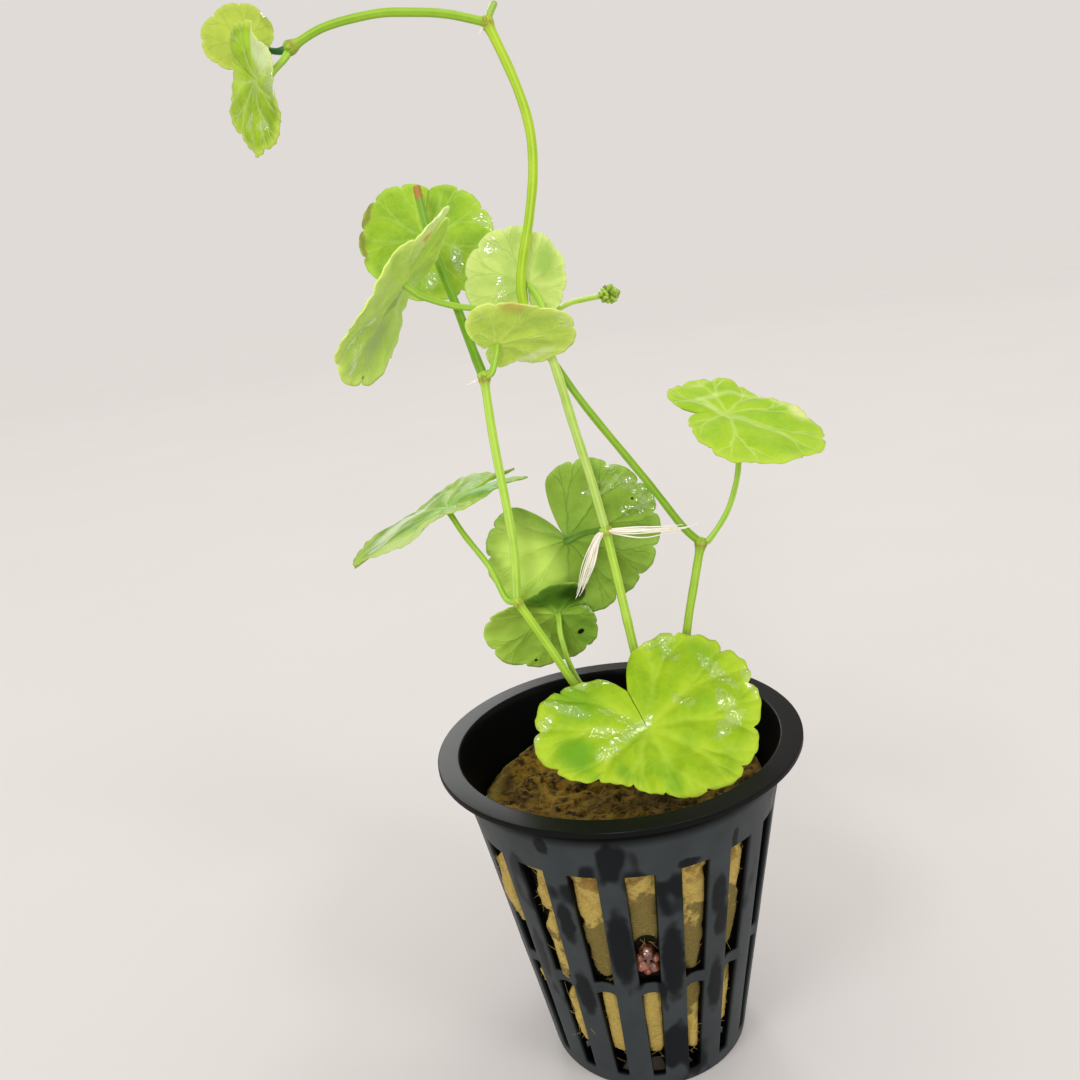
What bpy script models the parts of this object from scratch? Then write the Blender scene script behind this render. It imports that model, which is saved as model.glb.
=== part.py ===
"""Brazilian pennywort growing from a rock wool plug that stands in a black slotted net pot.

Lengths are in millimetres here and become metres in the meshes. The origin is the middle of
the pot's underside, +Z is up, and the plant is seen from -Y.
"""

from math import asin, cos, pi, radians, sin, sqrt, tau

import bmesh
import bpy
from mathutils import Matrix, Vector, noise

MM = 0.001
GAP = 0.3
WELD = 0.001 * MM

# Net pot
POT_HEIGHT = 52.0
RIM_RADIUS = 28.0
RIM_THICKNESS = 0.9
MOUTH_RADIUS = 24.7
BAND_TOP_RADIUS = 25.5
SHOULDER_HEIGHT = 42.0
SHOULDER_RADIUS = 23.4
BASE_RADIUS = 15.8
FLOOR_THICKNESS = 1.4
WALL = 1.3
POT_SIDES = 36
RIB_COUNT = 18
RIB_WIDTH = 3.8
FIRST_SLOT_DEG = 1.95 - 90.0
SLOT_FOOT = 2.2
SLOT_REACH = 1.5
FLOOR_OPEN_FROM = 10.0
FLOOR_OPEN_TO = 14.0
SPOKE_WIDTH = 2.0
FLOOR_CUT = 0.5
HOOP_HEIGHT = 2.0
HOOP_FOOT = 19.5
HOOP_RECESS = 0.5
HOOP_SUNK = 0.15

# Rock wool plug: its middle rests on the pot's floor and its outer edge is worn away below
WOOL_TOP = 44.3
WOOL_SHOULDER = 41.0
WOOL_SHOULDER_DROP = 0.9
WOOL_SIDE_HEIGHTS = (14.0, 28.0)
WOOL_TOP_RADII = (19.5, 13.0, 6.5)
WOOL_TOP_SKIN = 1.5
WOOL_CORE_RADIUS = 9.0
WOOL_EDGE_FOOT = 4.2
WOOL_EDGE_LEAN = 1.8
WOOL_LEAN_DEG = -140.0
WOOL_EDGE_FROM = 15.0
WOOL_EDGE_WIDTH = 5.0
WOOL_UNEVEN = 0.5
WOOL_PATCH = 6.0
WOOL_WORN = 0.9
TORN_EDGE_DEPTH = 2.3
TORN_EDGE_DEG = 170.0
TORN_EDGE_FOOT = 36.0
PLANTING_PLAY = 0.25

# Feed beads pushed into the plug through a slot
BEAD_RADIUS = 0.95
BEAD_SPACING = 1.55
BEAD_ROWS = 4
BEAD_FOOT = 23.0
BEAD_POCKET_HALF_WIDTH = 2.1
BEAD_POCKET_DEPTH = 2.0
BEAD_APART = 0.62
BEAD_ROW_PACKING = 0.9
BEAD_PROUD = 0.35
BEAD_STEP_BACK = 0.1

# Stems and leaves
STEM_RADIUS = 0.72
PETIOLE_RADIUS = 0.46
NODE_RADIUS = 1.0
NODE_CLEARANCE = NODE_RADIUS + GAP + 0.2
BLADE_THICKNESS = 0.5
BLADE_RINGS = 3
SPOKES_PER_TOOTH = 3
TOOTH_DEPTH = 0.055
NOTCH_AT_STALK = 0.2
NOTCH_CLEARANCE = 0.25
PETIOLE_STANDOFF = BLADE_THICKNESS / 2 + GAP + 0.08
PETIOLE_TURN = 1.0

# Stem nodes, where an internode, a leaf stalk or a root leaves the stem
NODE = {
    "left_low": (-13.3, 8.0, 72.5),
    "left_high": (-13.4, 6.0, 108.2),
    "centre_low": (1.9, 12.0, 81.1),
    "centre_high": (-5.4, 14.0, 113.5),
    "runner_top": (-6.9, 18.0, 157.5),
    "runner_tip": (-34.9, 13.0, 156.8),
    "right_low": (16.9, 14.0, 76.8),
    "right_high": (-6.3, 18.6, 113.3),
}

# Each internode: its route from foot to head, its radius at both ends, and the node it ends in
STEMS = {
    "stem_left_lower": {
        "route": [(1.4, 8.6, 38.0), (-0.2, 8.2, 45.0), (-6.5, 7.8, 58.6), (-9.7, 8.0, 65.3), NODE["left_low"]],
        "radius": (0.72, 0.66),
        "head_node": True,
    },
    "stem_left_upper": {
        "route": [NODE["left_low"], (-12.6, 7.2, 80.5), (-12.7, 6.5, 87.4), (-13.3, 6.3, 98.6), NODE["left_high"]],
        "radius": (0.72, 0.66),
        "head_node": True,
    },
    "stem_left_withered": {
        "route": [NODE["left_high"], (-14.4, 7.6, 111.2), (-16.5, 12.6, 118.0), (-19.3, 16.4, 127.4),
                  (-20.4, 17.6, 134.7), (-20.6, 18.0, 136.8)],
        "radius": (0.72, 0.55),
    },
    "stem_centre_lower": {
        "route": [(6.9, 8.4, 38.0), (6.2, 8.6, 45.0), (4.1, 10.0, 63.1), (3.0, 11.0, 72.3), NODE["centre_low"]],
        "radius": (0.74, 0.70),
        "head_node": True,
    },
    "stem_centre_upper": {
        "route": [NODE["centre_low"], (0.5, 12.3, 89.6), (-1.1, 12.6, 97.7), (-3.3, 13.2, 109.0), NODE["centre_high"]],
        "radius": (0.74, 0.68),
        "head_node": True,
    },
    "runner_rise": {
        "route": [NODE["centre_high"], (-6.7, 14.2, 118.2), (-6.2, 14.4, 122.9), (-4.2, 14.8, 129.8),
                  (-2.8, 15.4, 136.4), (-2.6, 16.0, 142.6), (-4.0, 16.8, 149.2), NODE["runner_top"]],
        "radius": (0.72, 0.68),
        "head_node": True,
    },
    "runner_arch": {
        "route": [NODE["runner_top"], (-12.4, 17.0, 159.1), (-17.6, 16.0, 159.8), (-22.6, 15.0, 160.0),
                  (-29.6, 13.8, 159.0), NODE["runner_tip"]],
        "radius": (0.60, 0.56),
        "head_node": True,
    },
    "runner_stub": {
        "route": [NODE["runner_top"], (-6.1, 18.0, 159.0), (-5.3, 18.0, 160.1)],
        "radius": (0.50, 0.52),
    },
    "stem_right_lower": {
        "route": [(8.8, 9.6, 38.0), (9.4, 10.2, 45.0), (13.3, 12.0, 63.3), (15.1, 13.0, 70.2), NODE["right_low"]],
        "radius": (0.70, 0.66),
        "head_node": True,
    },
    "stem_right_upper": {
        "route": [NODE["right_low"], (14.2, 14.3, 79.9), (9.8, 15.0, 87.0), (1.3, 16.6, 100.0), (-3.0, 17.8, 107.5),
                  NODE["right_high"]],
        "radius": (0.64, 0.60),
        "head_node": True,
    },
}

# Each leaf: the point over its stalk, where its upper face looks (azimuth from -Y towards +X,
# and elevation), how far its midrib is turned in that face, and its radius. The six shape
# numbers lengthen the radius along cos and sin of one, two and three turns. Notch is half the
# angle of the notch at the margin; towards the stalk its two sides draw together. Each bend
# lists the direction it faces, where it starts, its angle and its width.
LEAVES = {
    "pot_mouth": {
        "centre": (4.5, -8.0, 56.6), "face": (-2, 59), "midrib": -69, "radius": 15.1, "teeth": 13,
        "shape": (-0.11, 0.13, -0.11, 0.05, 0.08, 0.06), "notch": 12, "bends": [],
        "stalk": [(5.2, 2.6, 38.0), (5.0, 2.0, 45.0), (4.9, -2.0, 50.5), (4.7, -6.0, 53.6)],
    },
    "low_dark": {
        "centre": (-7.6, 15.2, 67.5), "face": (189, 20), "midrib": -13, "radius": 9.4, "teeth": 11,
        "shape": (0.30, -0.15, 0.0, -0.08, 0.07, 0.0), "notch": 12, "bends": [(90, 0.3, -24, 3)],
        "stalk": [(1.4, 12.8, 38.0), (0.0, 12.3, 45.0), (-5.6, 11.4, 57.0), (-7.2, 11.6, 63.8)],
    },
    "mid_back": {
        "centre": (-4.5, 18.0, 79.1), "face": (179, 6), "midrib": -122, "radius": 14.3, "teeth": 14,
        "shape": (0.08, -0.03, -0.08, 0.01, 0.0, 0.0), "notch": 20, "bends": [],
        "stalk": [NODE["centre_low"], (0.6, 13.2, 81.0), (-2.0, 15.6, 80.1)],
    },
    "left_arched": {
        "centre": (-23.8, 18.0, 86.9), "face": (-91, 65), "midrib": -77, "radius": 16.6, "teeth": 13,
        "shape": (0.01, -0.27, 0.07, -0.13, -0.01, 0.03), "notch": 22, "bends": [(0, 0.3, -1, 9), (180, 2, -18, 9)],
        "stalk": [NODE["left_low"], (-15.1, 9.0, 72.8), (-17.2, 11.6, 77.4), (-20.9, 15.2, 82.2)],
    },
    "centre_small": {
        "centre": (-10.8, 6.5, 113.2), "face": (173, 51), "midrib": 158, "radius": 7.2, "teeth": 9,
        "shape": (0.58, 0.03, 0.04, 0.0, 0.02, 0.08), "notch": 10, "bends": [(177, 0.3, -52, 1.5)],
        "stalk": [NODE["left_high"], (-12.1, 5.2, 108.8), (-11.2, 5.3, 111.0)],
    },
    "left_hanging": {
        "centre": (-23.2, 4.0, 123.1), "face": (262, 41), "midrib": -63, "radius": 12.9, "teeth": 12,
        "shape": (0.13, -0.09, 0.17, -0.05, -0.09, -0.03), "notch": 6, "bends": [(-60, 3, -19, 8)],
        "stalk": [NODE["centre_high"], (-6.9, 12.8, 113.9), (-10.6, 11.2, 117.0), (-16.4, 8.2, 118.7),
                  (-20.4, 5.2, 120.6)],
    },
    "top_back": {
        "centre": (-21.4, 23.6, 129.2), "face": (-3, 21), "midrib": -101, "radius": 10.6, "teeth": 13,
        "shape": (0.02, 0.04, -0.06, 0.03, 0.0, 0.0), "notch": 3, "bends": [],
        "stalk": [NODE["right_high"], (-8.4, 20.4, 114.2), (-14.0, 24.8, 121.4), (-19.0, 26.6, 127.0)],
    },
    "top_pale": {
        "centre": (-5.9, 17.3, 120.1), "face": (187, -5), "midrib": 90, "radius": 7.9, "teeth": 11,
        "shape": (0.14, -0.21, 0.0, 0.0, 0.0, 0.0), "notch": 12, "bends": [],
        "stalk": [NODE["centre_high"], (-3.8, 13.6, 114.2), (-3.9, 14.2, 117.0), (-5.0, 15.4, 119.3)],
    },
    "right_parasol": {
        "centre": (22.5, 13.0, 97.7), "face": (23, 70), "midrib": -17, "radius": 11.7, "teeth": 13,
        "shape": (0.14, -0.20, -0.19, -0.19, 0.0, 0.0), "notch": 14, "bends": [],
        "stalk": [NODE["right_low"], (18.5, 14.1, 77.4), (21.9, 14.4, 82.1), (23.8, 13.8, 89.0), (23.0, 13.4, 94.5)],
    },
    "tip_round": {
        "centre": (-43.0, 20.5, 159.7), "face": (183, -20), "midrib": 30, "radius": 5.25, "teeth": 9,
        "shape": (0.30, 0.12, 0.06, 0.0, 0.0, 0.0), "notch": 6, "bends": [],
        "stalk": [NODE["runner_tip"], (-36.8, 13.2, 156.6), (-39.4, 15.0, 157.7), (-41.9, 17.5, 159.1)],
    },
    "tip_hanging": {
        "centre": (-40.1, 9.0, 152.6), "face": (-56, 4.5), "midrib": -35, "radius": 9.1, "teeth": 11,
        "shape": (-0.12, -0.22, 0.09, -0.01, -0.02, 0.0), "notch": 9, "bends": [(0, 1, -9.5, 6)],
        "stalk": [NODE["runner_tip"], (-35.8, 12.4, 155.4), (-37.2, 11.2, 153.9)],
    },
}

# Roots and the flower bud: a route from the node and the radius at each of its points
TUFTS = {
    "roots_centre": {
        "route": [NODE["centre_low"], (6.2, 10.6, 80.6), (10.2, 10.2, 80.6), (15.0, 10.4, 80.6), (17.7, 10.6, 81.9)],
        "radii": (0.45, 0.80, 0.60, 0.22, 0.12),
    },
    "root_wisp_centre": {
        "route": [NODE["centre_low"], (0.3, 10.8, 80.3), (-1.4, 10.0, 76.6), (-3.2, 9.4, 72.7), (-4.1, 9.2, 71.1)],
        "radii": (0.35, 0.55, 0.80, 0.55, 0.20),
    },
    "root_hairs_left": {
        "route": [NODE["left_high"], (-15.4, 5.2, 107.7), (-16.9, 4.9, 107.9)],
        "radii": (0.28, 0.22, 0.14),
    },
    "root_hairs_runner": {
        "route": [NODE["runner_top"], (-8.0, 17.3, 156.4), (-8.8, 17.1, 155.6)],
        "radii": (0.25, 0.20, 0.14),
    },
}
BUD_STALK = [NODE["right_high"], (-4.2, 19.2, 114.7), (0.1, 18.9, 116.5), (2.7, 17.9, 116.9), (4.7, 16.9, 117.1)]
BUD_STALK_RADIUS = 0.42
BUD_CENTRE = (6.5, 15.6, 117.3)
BUD_SIZE = (1.5, 1.2, 1.3)
BUD_LUMPS = 0.28

COLOURS = {
    "pot_plastic": ("#17191C", 0.35),
    "rock_wool": ("#8A6B34", 0.95),
    "feed_bead": ("#7A4326", 0.35),
    "stem_green": ("#A6CF3A", 0.40),
    "stem_olive": ("#86A82A", 0.40),
    "leaf_bright": ("#9CCB2B", 0.40),
    "leaf_mid": ("#86B23C", 0.40),
    "leaf_dark": ("#5C8F25", 0.45),
    "leaf_pale": ("#A8CC6E", 0.45),
    "root_cream": ("#D8CFA8", 0.70),
    "bud_green": ("#5F8A2C", 0.50),
}
LEAF_COLOUR = {
    "pot_mouth": "leaf_bright", "low_dark": "leaf_dark", "mid_back": "leaf_mid", "left_arched": "leaf_mid",
    "centre_small": "leaf_pale", "left_hanging": "leaf_pale", "top_back": "leaf_bright", "top_pale": "leaf_pale",
    "right_parasol": "leaf_bright", "tip_round": "leaf_pale", "tip_hanging": "leaf_mid",
}


def clear_scene():
    for thing in list(bpy.data.objects):
        bpy.data.objects.remove(thing, do_unlink=True)


def new_collection(name):
    collection = bpy.data.collections.new(name)
    bpy.context.scene.collection.children.link(collection)
    return collection


def linear(channel):
    return channel / 12.92 if channel <= 0.04045 else ((channel + 0.055) / 1.055) ** 2.4


def material(name):
    """The finish of this name, made once and shared by the pieces that have it."""
    if name in bpy.data.materials:
        return bpy.data.materials[name]
    colour, roughness = COLOURS[name]
    channels = [linear(int(colour[i:i + 2], 16) / 255) for i in (1, 3, 5)]
    made = bpy.data.materials.new(name)
    made.use_nodes = True
    shader = made.node_tree.nodes["Principled BSDF"]
    shader.inputs["Base Color"].default_value = (*channels, 1.0)
    shader.inputs["Roughness"].default_value = roughness
    shader.inputs["Metallic"].default_value = 0.0
    return made


def object_from(bm, name, collection, finish=None):
    """An object in metres from a bmesh in millimetres."""
    bmesh.ops.scale(bm, vec=(MM, MM, MM), verts=bm.verts)
    bmesh.ops.remove_doubles(bm, verts=bm.verts, dist=WELD)
    mesh = bpy.data.meshes.new(name)
    bm.to_mesh(mesh)
    bm.free()
    made = bpy.data.objects.new(name, mesh)
    collection.objects.link(made)
    if finish:
        mesh.materials.append(material(finish))
    return made


def cutter_from(bm, name):
    made = object_from(bm, name, CUTTERS)
    made.hide_render = True
    made.display_type = "WIRE"
    return made


def add_boolean(target, operation, other):
    modifier = target.modifiers.new(other.name, "BOOLEAN")
    modifier.operation = operation
    modifier.solver = "EXACT"
    modifier.object = other


def turn_profile(bm, profile, sides):
    """Spins (radius, height) points about the pot's axis, the outer side running top to bottom."""
    corners = [bm.verts.new((radius, 0.0, height)) for radius, height in profile]
    edges = [bm.edges.new(pair) for pair in zip(corners, corners[1:])]
    bmesh.ops.spin(bm, geom=corners + edges, cent=(0, 0, 0), axis=(0, 0, 1), angle=tau, steps=sides, use_merge=True)
    bmesh.ops.remove_doubles(bm, verts=bm.verts, dist=WELD / MM)
    bmesh.ops.recalc_face_normals(bm, faces=bm.faces)


def outer_radius(height):
    """Outside of the pot's cone at the ribs, and of the plain band over them."""
    if height < SHOULDER_HEIGHT:
        return BASE_RADIUS + (SHOULDER_RADIUS - BASE_RADIUS) * height / SHOULDER_HEIGHT
    band = (height - SHOULDER_HEIGHT) / (POT_HEIGHT - SHOULDER_HEIGHT)
    return SHOULDER_RADIUS + (BAND_TOP_RADIUS - SHOULDER_RADIUS) * band


def inner_radius(height):
    return outer_radius(height) - WALL


def rib_space(radius):
    """Width of the slot between two ribs at this radius."""
    return tau * radius / RIB_COUNT - RIB_WIDTH


def build_pot():
    under_rim = POT_HEIGHT - RIM_THICKNESS
    profile = [
        (0, FLOOR_THICKNESS), (inner_radius(FLOOR_THICKNESS), FLOOR_THICKNESS),
        (inner_radius(SHOULDER_HEIGHT), SHOULDER_HEIGHT), (MOUTH_RADIUS - 0.3, under_rim),
        (MOUTH_RADIUS, POT_HEIGHT), (RIM_RADIUS, POT_HEIGHT), (RIM_RADIUS, under_rim),
        (outer_radius(under_rim), under_rim), (SHOULDER_RADIUS, SHOULDER_HEIGHT), (BASE_RADIUS, 0), (0, 0),
    ]
    bm = bmesh.new()
    turn_profile(bm, profile, POT_SIDES)
    pot = object_from(bm, "net_pot", PARTS, "pot_plastic")
    add_boolean(pot, "DIFFERENCE", slot_cutters())
    add_boolean(pot, "UNION", hoop())
    return pot


def slot_cutters():
    """For each slot, one tapered block through the wall and one through the floor under it."""
    bm = bmesh.new()
    for index in range(RIB_COUNT):
        wall_block = bmesh.ops.create_cube(bm, size=1)["verts"]
        for corner in wall_block:
            height = SHOULDER_HEIGHT if corner.co.z > 0 else SLOT_FOOT
            radius = outer_radius(height)
            along = radius + SLOT_REACH if corner.co.x > 0 else radius - WALL - SLOT_REACH
            across = rib_space(radius) / 2
            corner.co = (along, across if corner.co.y > 0 else -across, height)
        floor_block = bmesh.ops.create_cube(bm, size=1)["verts"]
        for corner in floor_block:
            height = FLOOR_THICKNESS + FLOOR_CUT if corner.co.z > 0 else -FLOOR_CUT
            along = FLOOR_OPEN_TO if corner.co.x > 0 else FLOOR_OPEN_FROM
            across = (tau * along / RIB_COUNT - SPOKE_WIDTH) / 2
            corner.co = (along, across if corner.co.y > 0 else -across, height)
        turn = Matrix.Rotation(radians(FIRST_SLOT_DEG) + tau * index / RIB_COUNT, 3, "Z")
        bmesh.ops.rotate(bm, verts=wall_block + floor_block, cent=(0, 0, 0), matrix=turn)
    return cutter_from(bm, "slot_cutters")


def hoop():
    """The ring that crosses the slots, set back from the outside of the ribs."""
    top = HOOP_FOOT + HOOP_HEIGHT
    bm = bmesh.new()
    ring = [
        (inner_radius(HOOP_FOOT) + HOOP_SUNK, HOOP_FOOT), (inner_radius(top) + HOOP_SUNK, top),
        (outer_radius(top) - HOOP_RECESS, top), (outer_radius(HOOP_FOOT) - HOOP_RECESS, HOOP_FOOT),
        (inner_radius(HOOP_FOOT) + HOOP_SUNK, HOOP_FOOT),
    ]
    turn_profile(bm, ring, POT_SIDES)
    return cutter_from(bm, "hoop_ring")


def smooth_step(value):
    value = min(max(value, 0.0), 1.0)
    return value * value * (3 - 2 * value)


def build_wool():
    """A cone of wool that fills the pot, worn at its top edge and torn away on the left."""
    foot = FLOOR_THICKNESS + GAP
    fit = inner_radius(0) - GAP
    slope = (SHOULDER_RADIUS - BASE_RADIUS) / SHOULDER_HEIGHT
    heights = (WOOL_EDGE_FOOT, *WOOL_SIDE_HEIGHTS, TORN_EDGE_FOOT, WOOL_SHOULDER)
    side = [(fit + slope * height, height) for height in heights]
    top = [(fit + slope * WOOL_SHOULDER, WOOL_TOP - WOOL_SHOULDER_DROP)]
    top += [(radius, WOOL_TOP) for radius in (*WOOL_TOP_RADII, 0)]
    bm = bmesh.new()
    turn_profile(bm, [(0, foot), (WOOL_CORE_RADIUS, foot)] + side + top, POT_SIDES)
    torn_way = Vector((cos(radians(TORN_EDGE_DEG)), sin(radians(TORN_EDGE_DEG)), 0))
    lean_way = Vector((cos(radians(WOOL_LEAN_DEG)), sin(radians(WOOL_LEAN_DEG)), 0))
    for point in bm.verts:
        across = Vector((point.co.x, point.co.y, 0))
        if across.length < 1 or point.co.z < foot + 1:
            continue
        if point.co.z < WOOL_SIDE_HEIGHTS[0] - 1:
            rise = WOOL_EDGE_LEAN * across.normalized().dot(lean_way)
            point.co += Vector((0, 0, rise)) + across.normalized() * slope * rise
        patch = noise.noise(point.co / WOOL_PATCH)
        edge = smooth_step((across.length - WOOL_EDGE_FROM) / WOOL_EDGE_WIDTH)
        height = smooth_step((point.co.z - TORN_EDGE_FOOT) / (WOOL_TOP - TORN_EDGE_FOOT))
        torn = TORN_EDGE_DEPTH * max(0.0, across.normalized().dot(torn_way)) ** 6
        worn = edge * height * (torn + WOOL_WORN * max(0.0, patch))
        point.co -= across.normalized() * worn
        if point.co.z > WOOL_TOP - WOOL_TOP_SKIN:
            point.co.z += WOOL_UNEVEN * patch
    wool = object_from(bm, "rock_wool", PARTS, "rock_wool")
    feet = [data["route"] for data in STEMS.values() if data["route"][0][2] < WOOL_TOP]
    holes = [(route, STEM_RADIUS) for route in feet]
    stalks = [leaf["stalk"] for leaf in LEAVES.values() if leaf["stalk"][0][2] < WOOL_TOP]
    holes += [(route, PETIOLE_RADIUS) for route in stalks]
    for number, (route, radius) in enumerate(holes, 1):
        add_boolean(wool, "DIFFERENCE", planting_hole(route, radius, number))
    add_boolean(wool, "DIFFERENCE", bead_pocket())
    return wool


def planting_hole(route, radius, number):
    """A round hole on the line of the stem's first stretch, wide enough to leave the gap."""
    foot, head = Vector(route[0]), Vector(route[1])
    reach = head + (head - foot) * 0.5
    middle = (foot - (head - foot).normalized() * GAP + reach) / 2
    bm = bmesh.new()
    wide = radius + GAP + PLANTING_PLAY
    bmesh.ops.create_cone(
        bm, cap_ends=True, segments=8, radius1=wide, radius2=wide, depth=(reach - middle).length * 2)
    lean = Vector((0, 0, 1)).rotation_difference(head - foot).to_matrix()
    bmesh.ops.rotate(bm, verts=bm.verts, cent=(0, 0, 0), matrix=lean)
    bmesh.ops.translate(bm, verts=bm.verts, vec=middle)
    return cutter_from(bm, f"planting_hole_{number}")


def bead_pocket():
    top = BEAD_FOOT + BEAD_ROWS * BEAD_SPACING + GAP
    bm = bmesh.new()
    block = bmesh.ops.create_cube(bm, size=1)["verts"]
    for corner in block:
        height = top if corner.co.z > 0 else BEAD_FOOT - BEAD_RADIUS - GAP
        along = inner_radius(height) + (SLOT_REACH if corner.co.x > 0 else -BEAD_POCKET_DEPTH)
        across = BEAD_POCKET_HALF_WIDTH if corner.co.y > 0 else -BEAD_POCKET_HALF_WIDTH
        corner.co = (along, across, height)
    turn = Matrix.Rotation(radians(FIRST_SLOT_DEG), 3, "Z")
    bmesh.ops.rotate(bm, verts=block, cent=(0, 0, 0), matrix=turn)
    return cutter_from(bm, "bead_pocket")


def build_beads():
    """Round feed beads in staggered rows, stuck together in one clump."""
    beads = []
    for row in range(BEAD_ROWS):
        offsets = (-BEAD_APART, BEAD_APART) if row % 2 == 0 else (0.0,)
        for offset in offsets:
            height = BEAD_FOOT + row * BEAD_SPACING * BEAD_ROW_PACKING
            along = inner_radius(height) - BEAD_RADIUS + BEAD_PROUD - BEAD_STEP_BACK * row
            place = Matrix.Rotation(radians(FIRST_SLOT_DEG), 3, "Z") @ Vector((along, offset, height))
            bm = bmesh.new()
            bmesh.ops.create_icosphere(bm, subdivisions=1, radius=BEAD_RADIUS)
            bmesh.ops.translate(bm, verts=bm.verts, vec=place)
            beads.append(bm)
    clump = object_from(beads[0], "feed_beads", PARTS, "feed_bead")
    for number, bm in enumerate(beads[1:], 2):
        add_boolean(clump, "UNION", cutter_from(bm, f"bead_{number}"))
    return clump


def smooth_points(route, steps=12):
    """Points on a Catmull-Rom curve through the route."""
    points = [Vector(point) for point in route]
    ends = [points[0] * 2 - points[1]] + points + [points[-1] * 2 - points[-2]]
    found = []
    for before, start, end, after in zip(ends, ends[1:], ends[2:], ends[3:]):
        for step in range(steps):
            t = step / steps
            found.append(0.5 * (
                2 * start + (end - before) * t + (2 * before - 5 * start + 4 * end - after) * t ** 2
                + (3 * start - before - 3 * end + after) * t ** 3))
    return found + [points[-1]]


def point_at(points, distance):
    """The point this far along a polyline, which runs on straight past its end."""
    for start, end in zip(points, points[1:]):
        length = (end - start).length
        if distance <= length or end is points[-1]:
            return start + (end - start) * (distance / length)
        distance -= length
    return points[-1]


def build_tube(name, route, stations, finish):
    """A round stalk through (distance along the route, radius) stations."""
    points = smooth_points(route)
    curve = bpy.data.curves.new(name, "CURVE")
    curve.dimensions = "3D"
    curve.bevel_depth = MM
    curve.bevel_resolution = 1
    curve.use_fill_caps = True
    spline = curve.splines.new("POLY")
    spline.points.add(len(stations) - 1)
    for knot, (distance, radius) in zip(spline.points, stations):
        knot.co = (*(point_at(points, distance) * MM), 1)
        knot.radius = radius
    curve.materials.append(material(finish))
    made = bpy.data.objects.new(name, curve)
    PARTS.objects.link(made)
    return made


def route_length(route):
    points = smooth_points(route)
    return sum((b - a).length for a, b in zip(points, points[1:]))


def build_stem(name, data):
    """An internode. It keeps clear of the node below and swells into the node at its head."""
    length = route_length(data["route"])
    start = NODE_CLEARANCE if data["route"][0] in NODE.values() else 0.0
    foot, head = data["radius"]
    end = length - 2 * NODE_RADIUS if data.get("head_node") else length
    count = max(2, round((end - start) / 5.5))
    stations = [
        (start + (end - start) * step / count, foot + (head - foot) * step / count) for step in range(count + 1)]
    if data.get("head_node"):
        stations += [(length - 0.8 * NODE_RADIUS, 0.85 * NODE_RADIUS), (length, NODE_RADIUS),
                     (length + 0.7 * NODE_RADIUS, 0.7 * NODE_RADIUS), (length + 0.98 * NODE_RADIUS, 0.3 * NODE_RADIUS)]
    return build_tube(name, data["route"], stations, "stem_olive" if "right" in name else "stem_green")


def leaf_frame(leaf):
    """The midrib's direction, the direction across it and the upper face's normal."""
    azimuth, elevation = (radians(angle) for angle in leaf["face"])
    normal = Vector((cos(elevation) * sin(azimuth), -cos(elevation) * cos(azimuth), sin(elevation)))
    level = Vector((0, 0, 1)).cross(normal).normalized()
    turn = radians(leaf["midrib"])
    midrib = level * cos(turn) + normal.cross(level) * sin(turn)
    return midrib, normal.cross(midrib), normal


def bend_point(point, facing, start, turn, width):
    """Rolls what lies past a line in the blade, by this angle over this width."""
    way = Vector((cos(radians(facing)), sin(radians(facing)), 0))
    side = Vector((-way.y, way.x, 0))
    past = point.dot(way) - start
    if past <= 0:
        return point
    roll = radians(turn) / width
    angle = roll * min(past, width)
    rest = max(past - width, 0.0)
    along = sin(angle) / roll + rest * cos(angle) - point.z * sin(angle)
    rise = (1 - cos(angle)) / roll + rest * sin(angle) + point.z * cos(angle)
    return way * (start + along) + side * point.dot(side) + Vector((0, 0, rise))


def blade_point(leaf, share, reach):
    """A point of the blade: share runs round the margin from one side of the notch to the other."""
    closing = NOTCH_AT_STALK + (1 - NOTCH_AT_STALK) * reach ** 4
    slit = asin(min(1.0, NOTCH_CLEARANCE / max(leaf["radius"] * reach, NOTCH_CLEARANCE)))
    notch = max(radians(leaf["notch"]) * closing, slit)
    angle = -pi + notch + (tau - 2 * notch) * share
    waves = (cos(angle), sin(angle), cos(2 * angle), sin(2 * angle), cos(3 * angle), sin(3 * angle))
    radius = leaf["radius"] * (1 + sum(size * wave for size, wave in zip(leaf["shape"], waves)))
    scallop = 1 - sqrt(abs(sin(pi * leaf["teeth"] * share)))
    radius *= reach * (1 - TOOTH_DEPTH * scallop * reach ** 4)
    point = Vector((radius * cos(angle), radius * sin(angle), 0))
    for bend in leaf["bends"]:
        point = bend_point(point, *bend)
    return point


def build_blade(name, leaf):
    """A grid wrapped round the stalk into a notched disc with round teeth, then given its thickness."""
    spokes = leaf["teeth"] * SPOKES_PER_TOOTH
    midrib, across, normal = leaf_frame(leaf)
    bm = bmesh.new()
    bmesh.ops.create_grid(bm, x_segments=spokes, y_segments=BLADE_RINGS, size=0.5)
    for corner in bm.verts:
        flat = blade_point(leaf, corner.co.x + 0.5, corner.co.y + 0.5)
        corner.co = Vector(leaf["centre"]) + midrib * flat.x + across * flat.y + normal * flat.z
    blade = object_from(bm, f"leaf_{name}", PARTS, LEAF_COLOUR[name])
    solidify = blade.modifiers.new("blade thickness", "SOLIDIFY")
    solidify.thickness = BLADE_THICKNESS * MM
    solidify.offset = 0.0
    return blade


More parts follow.
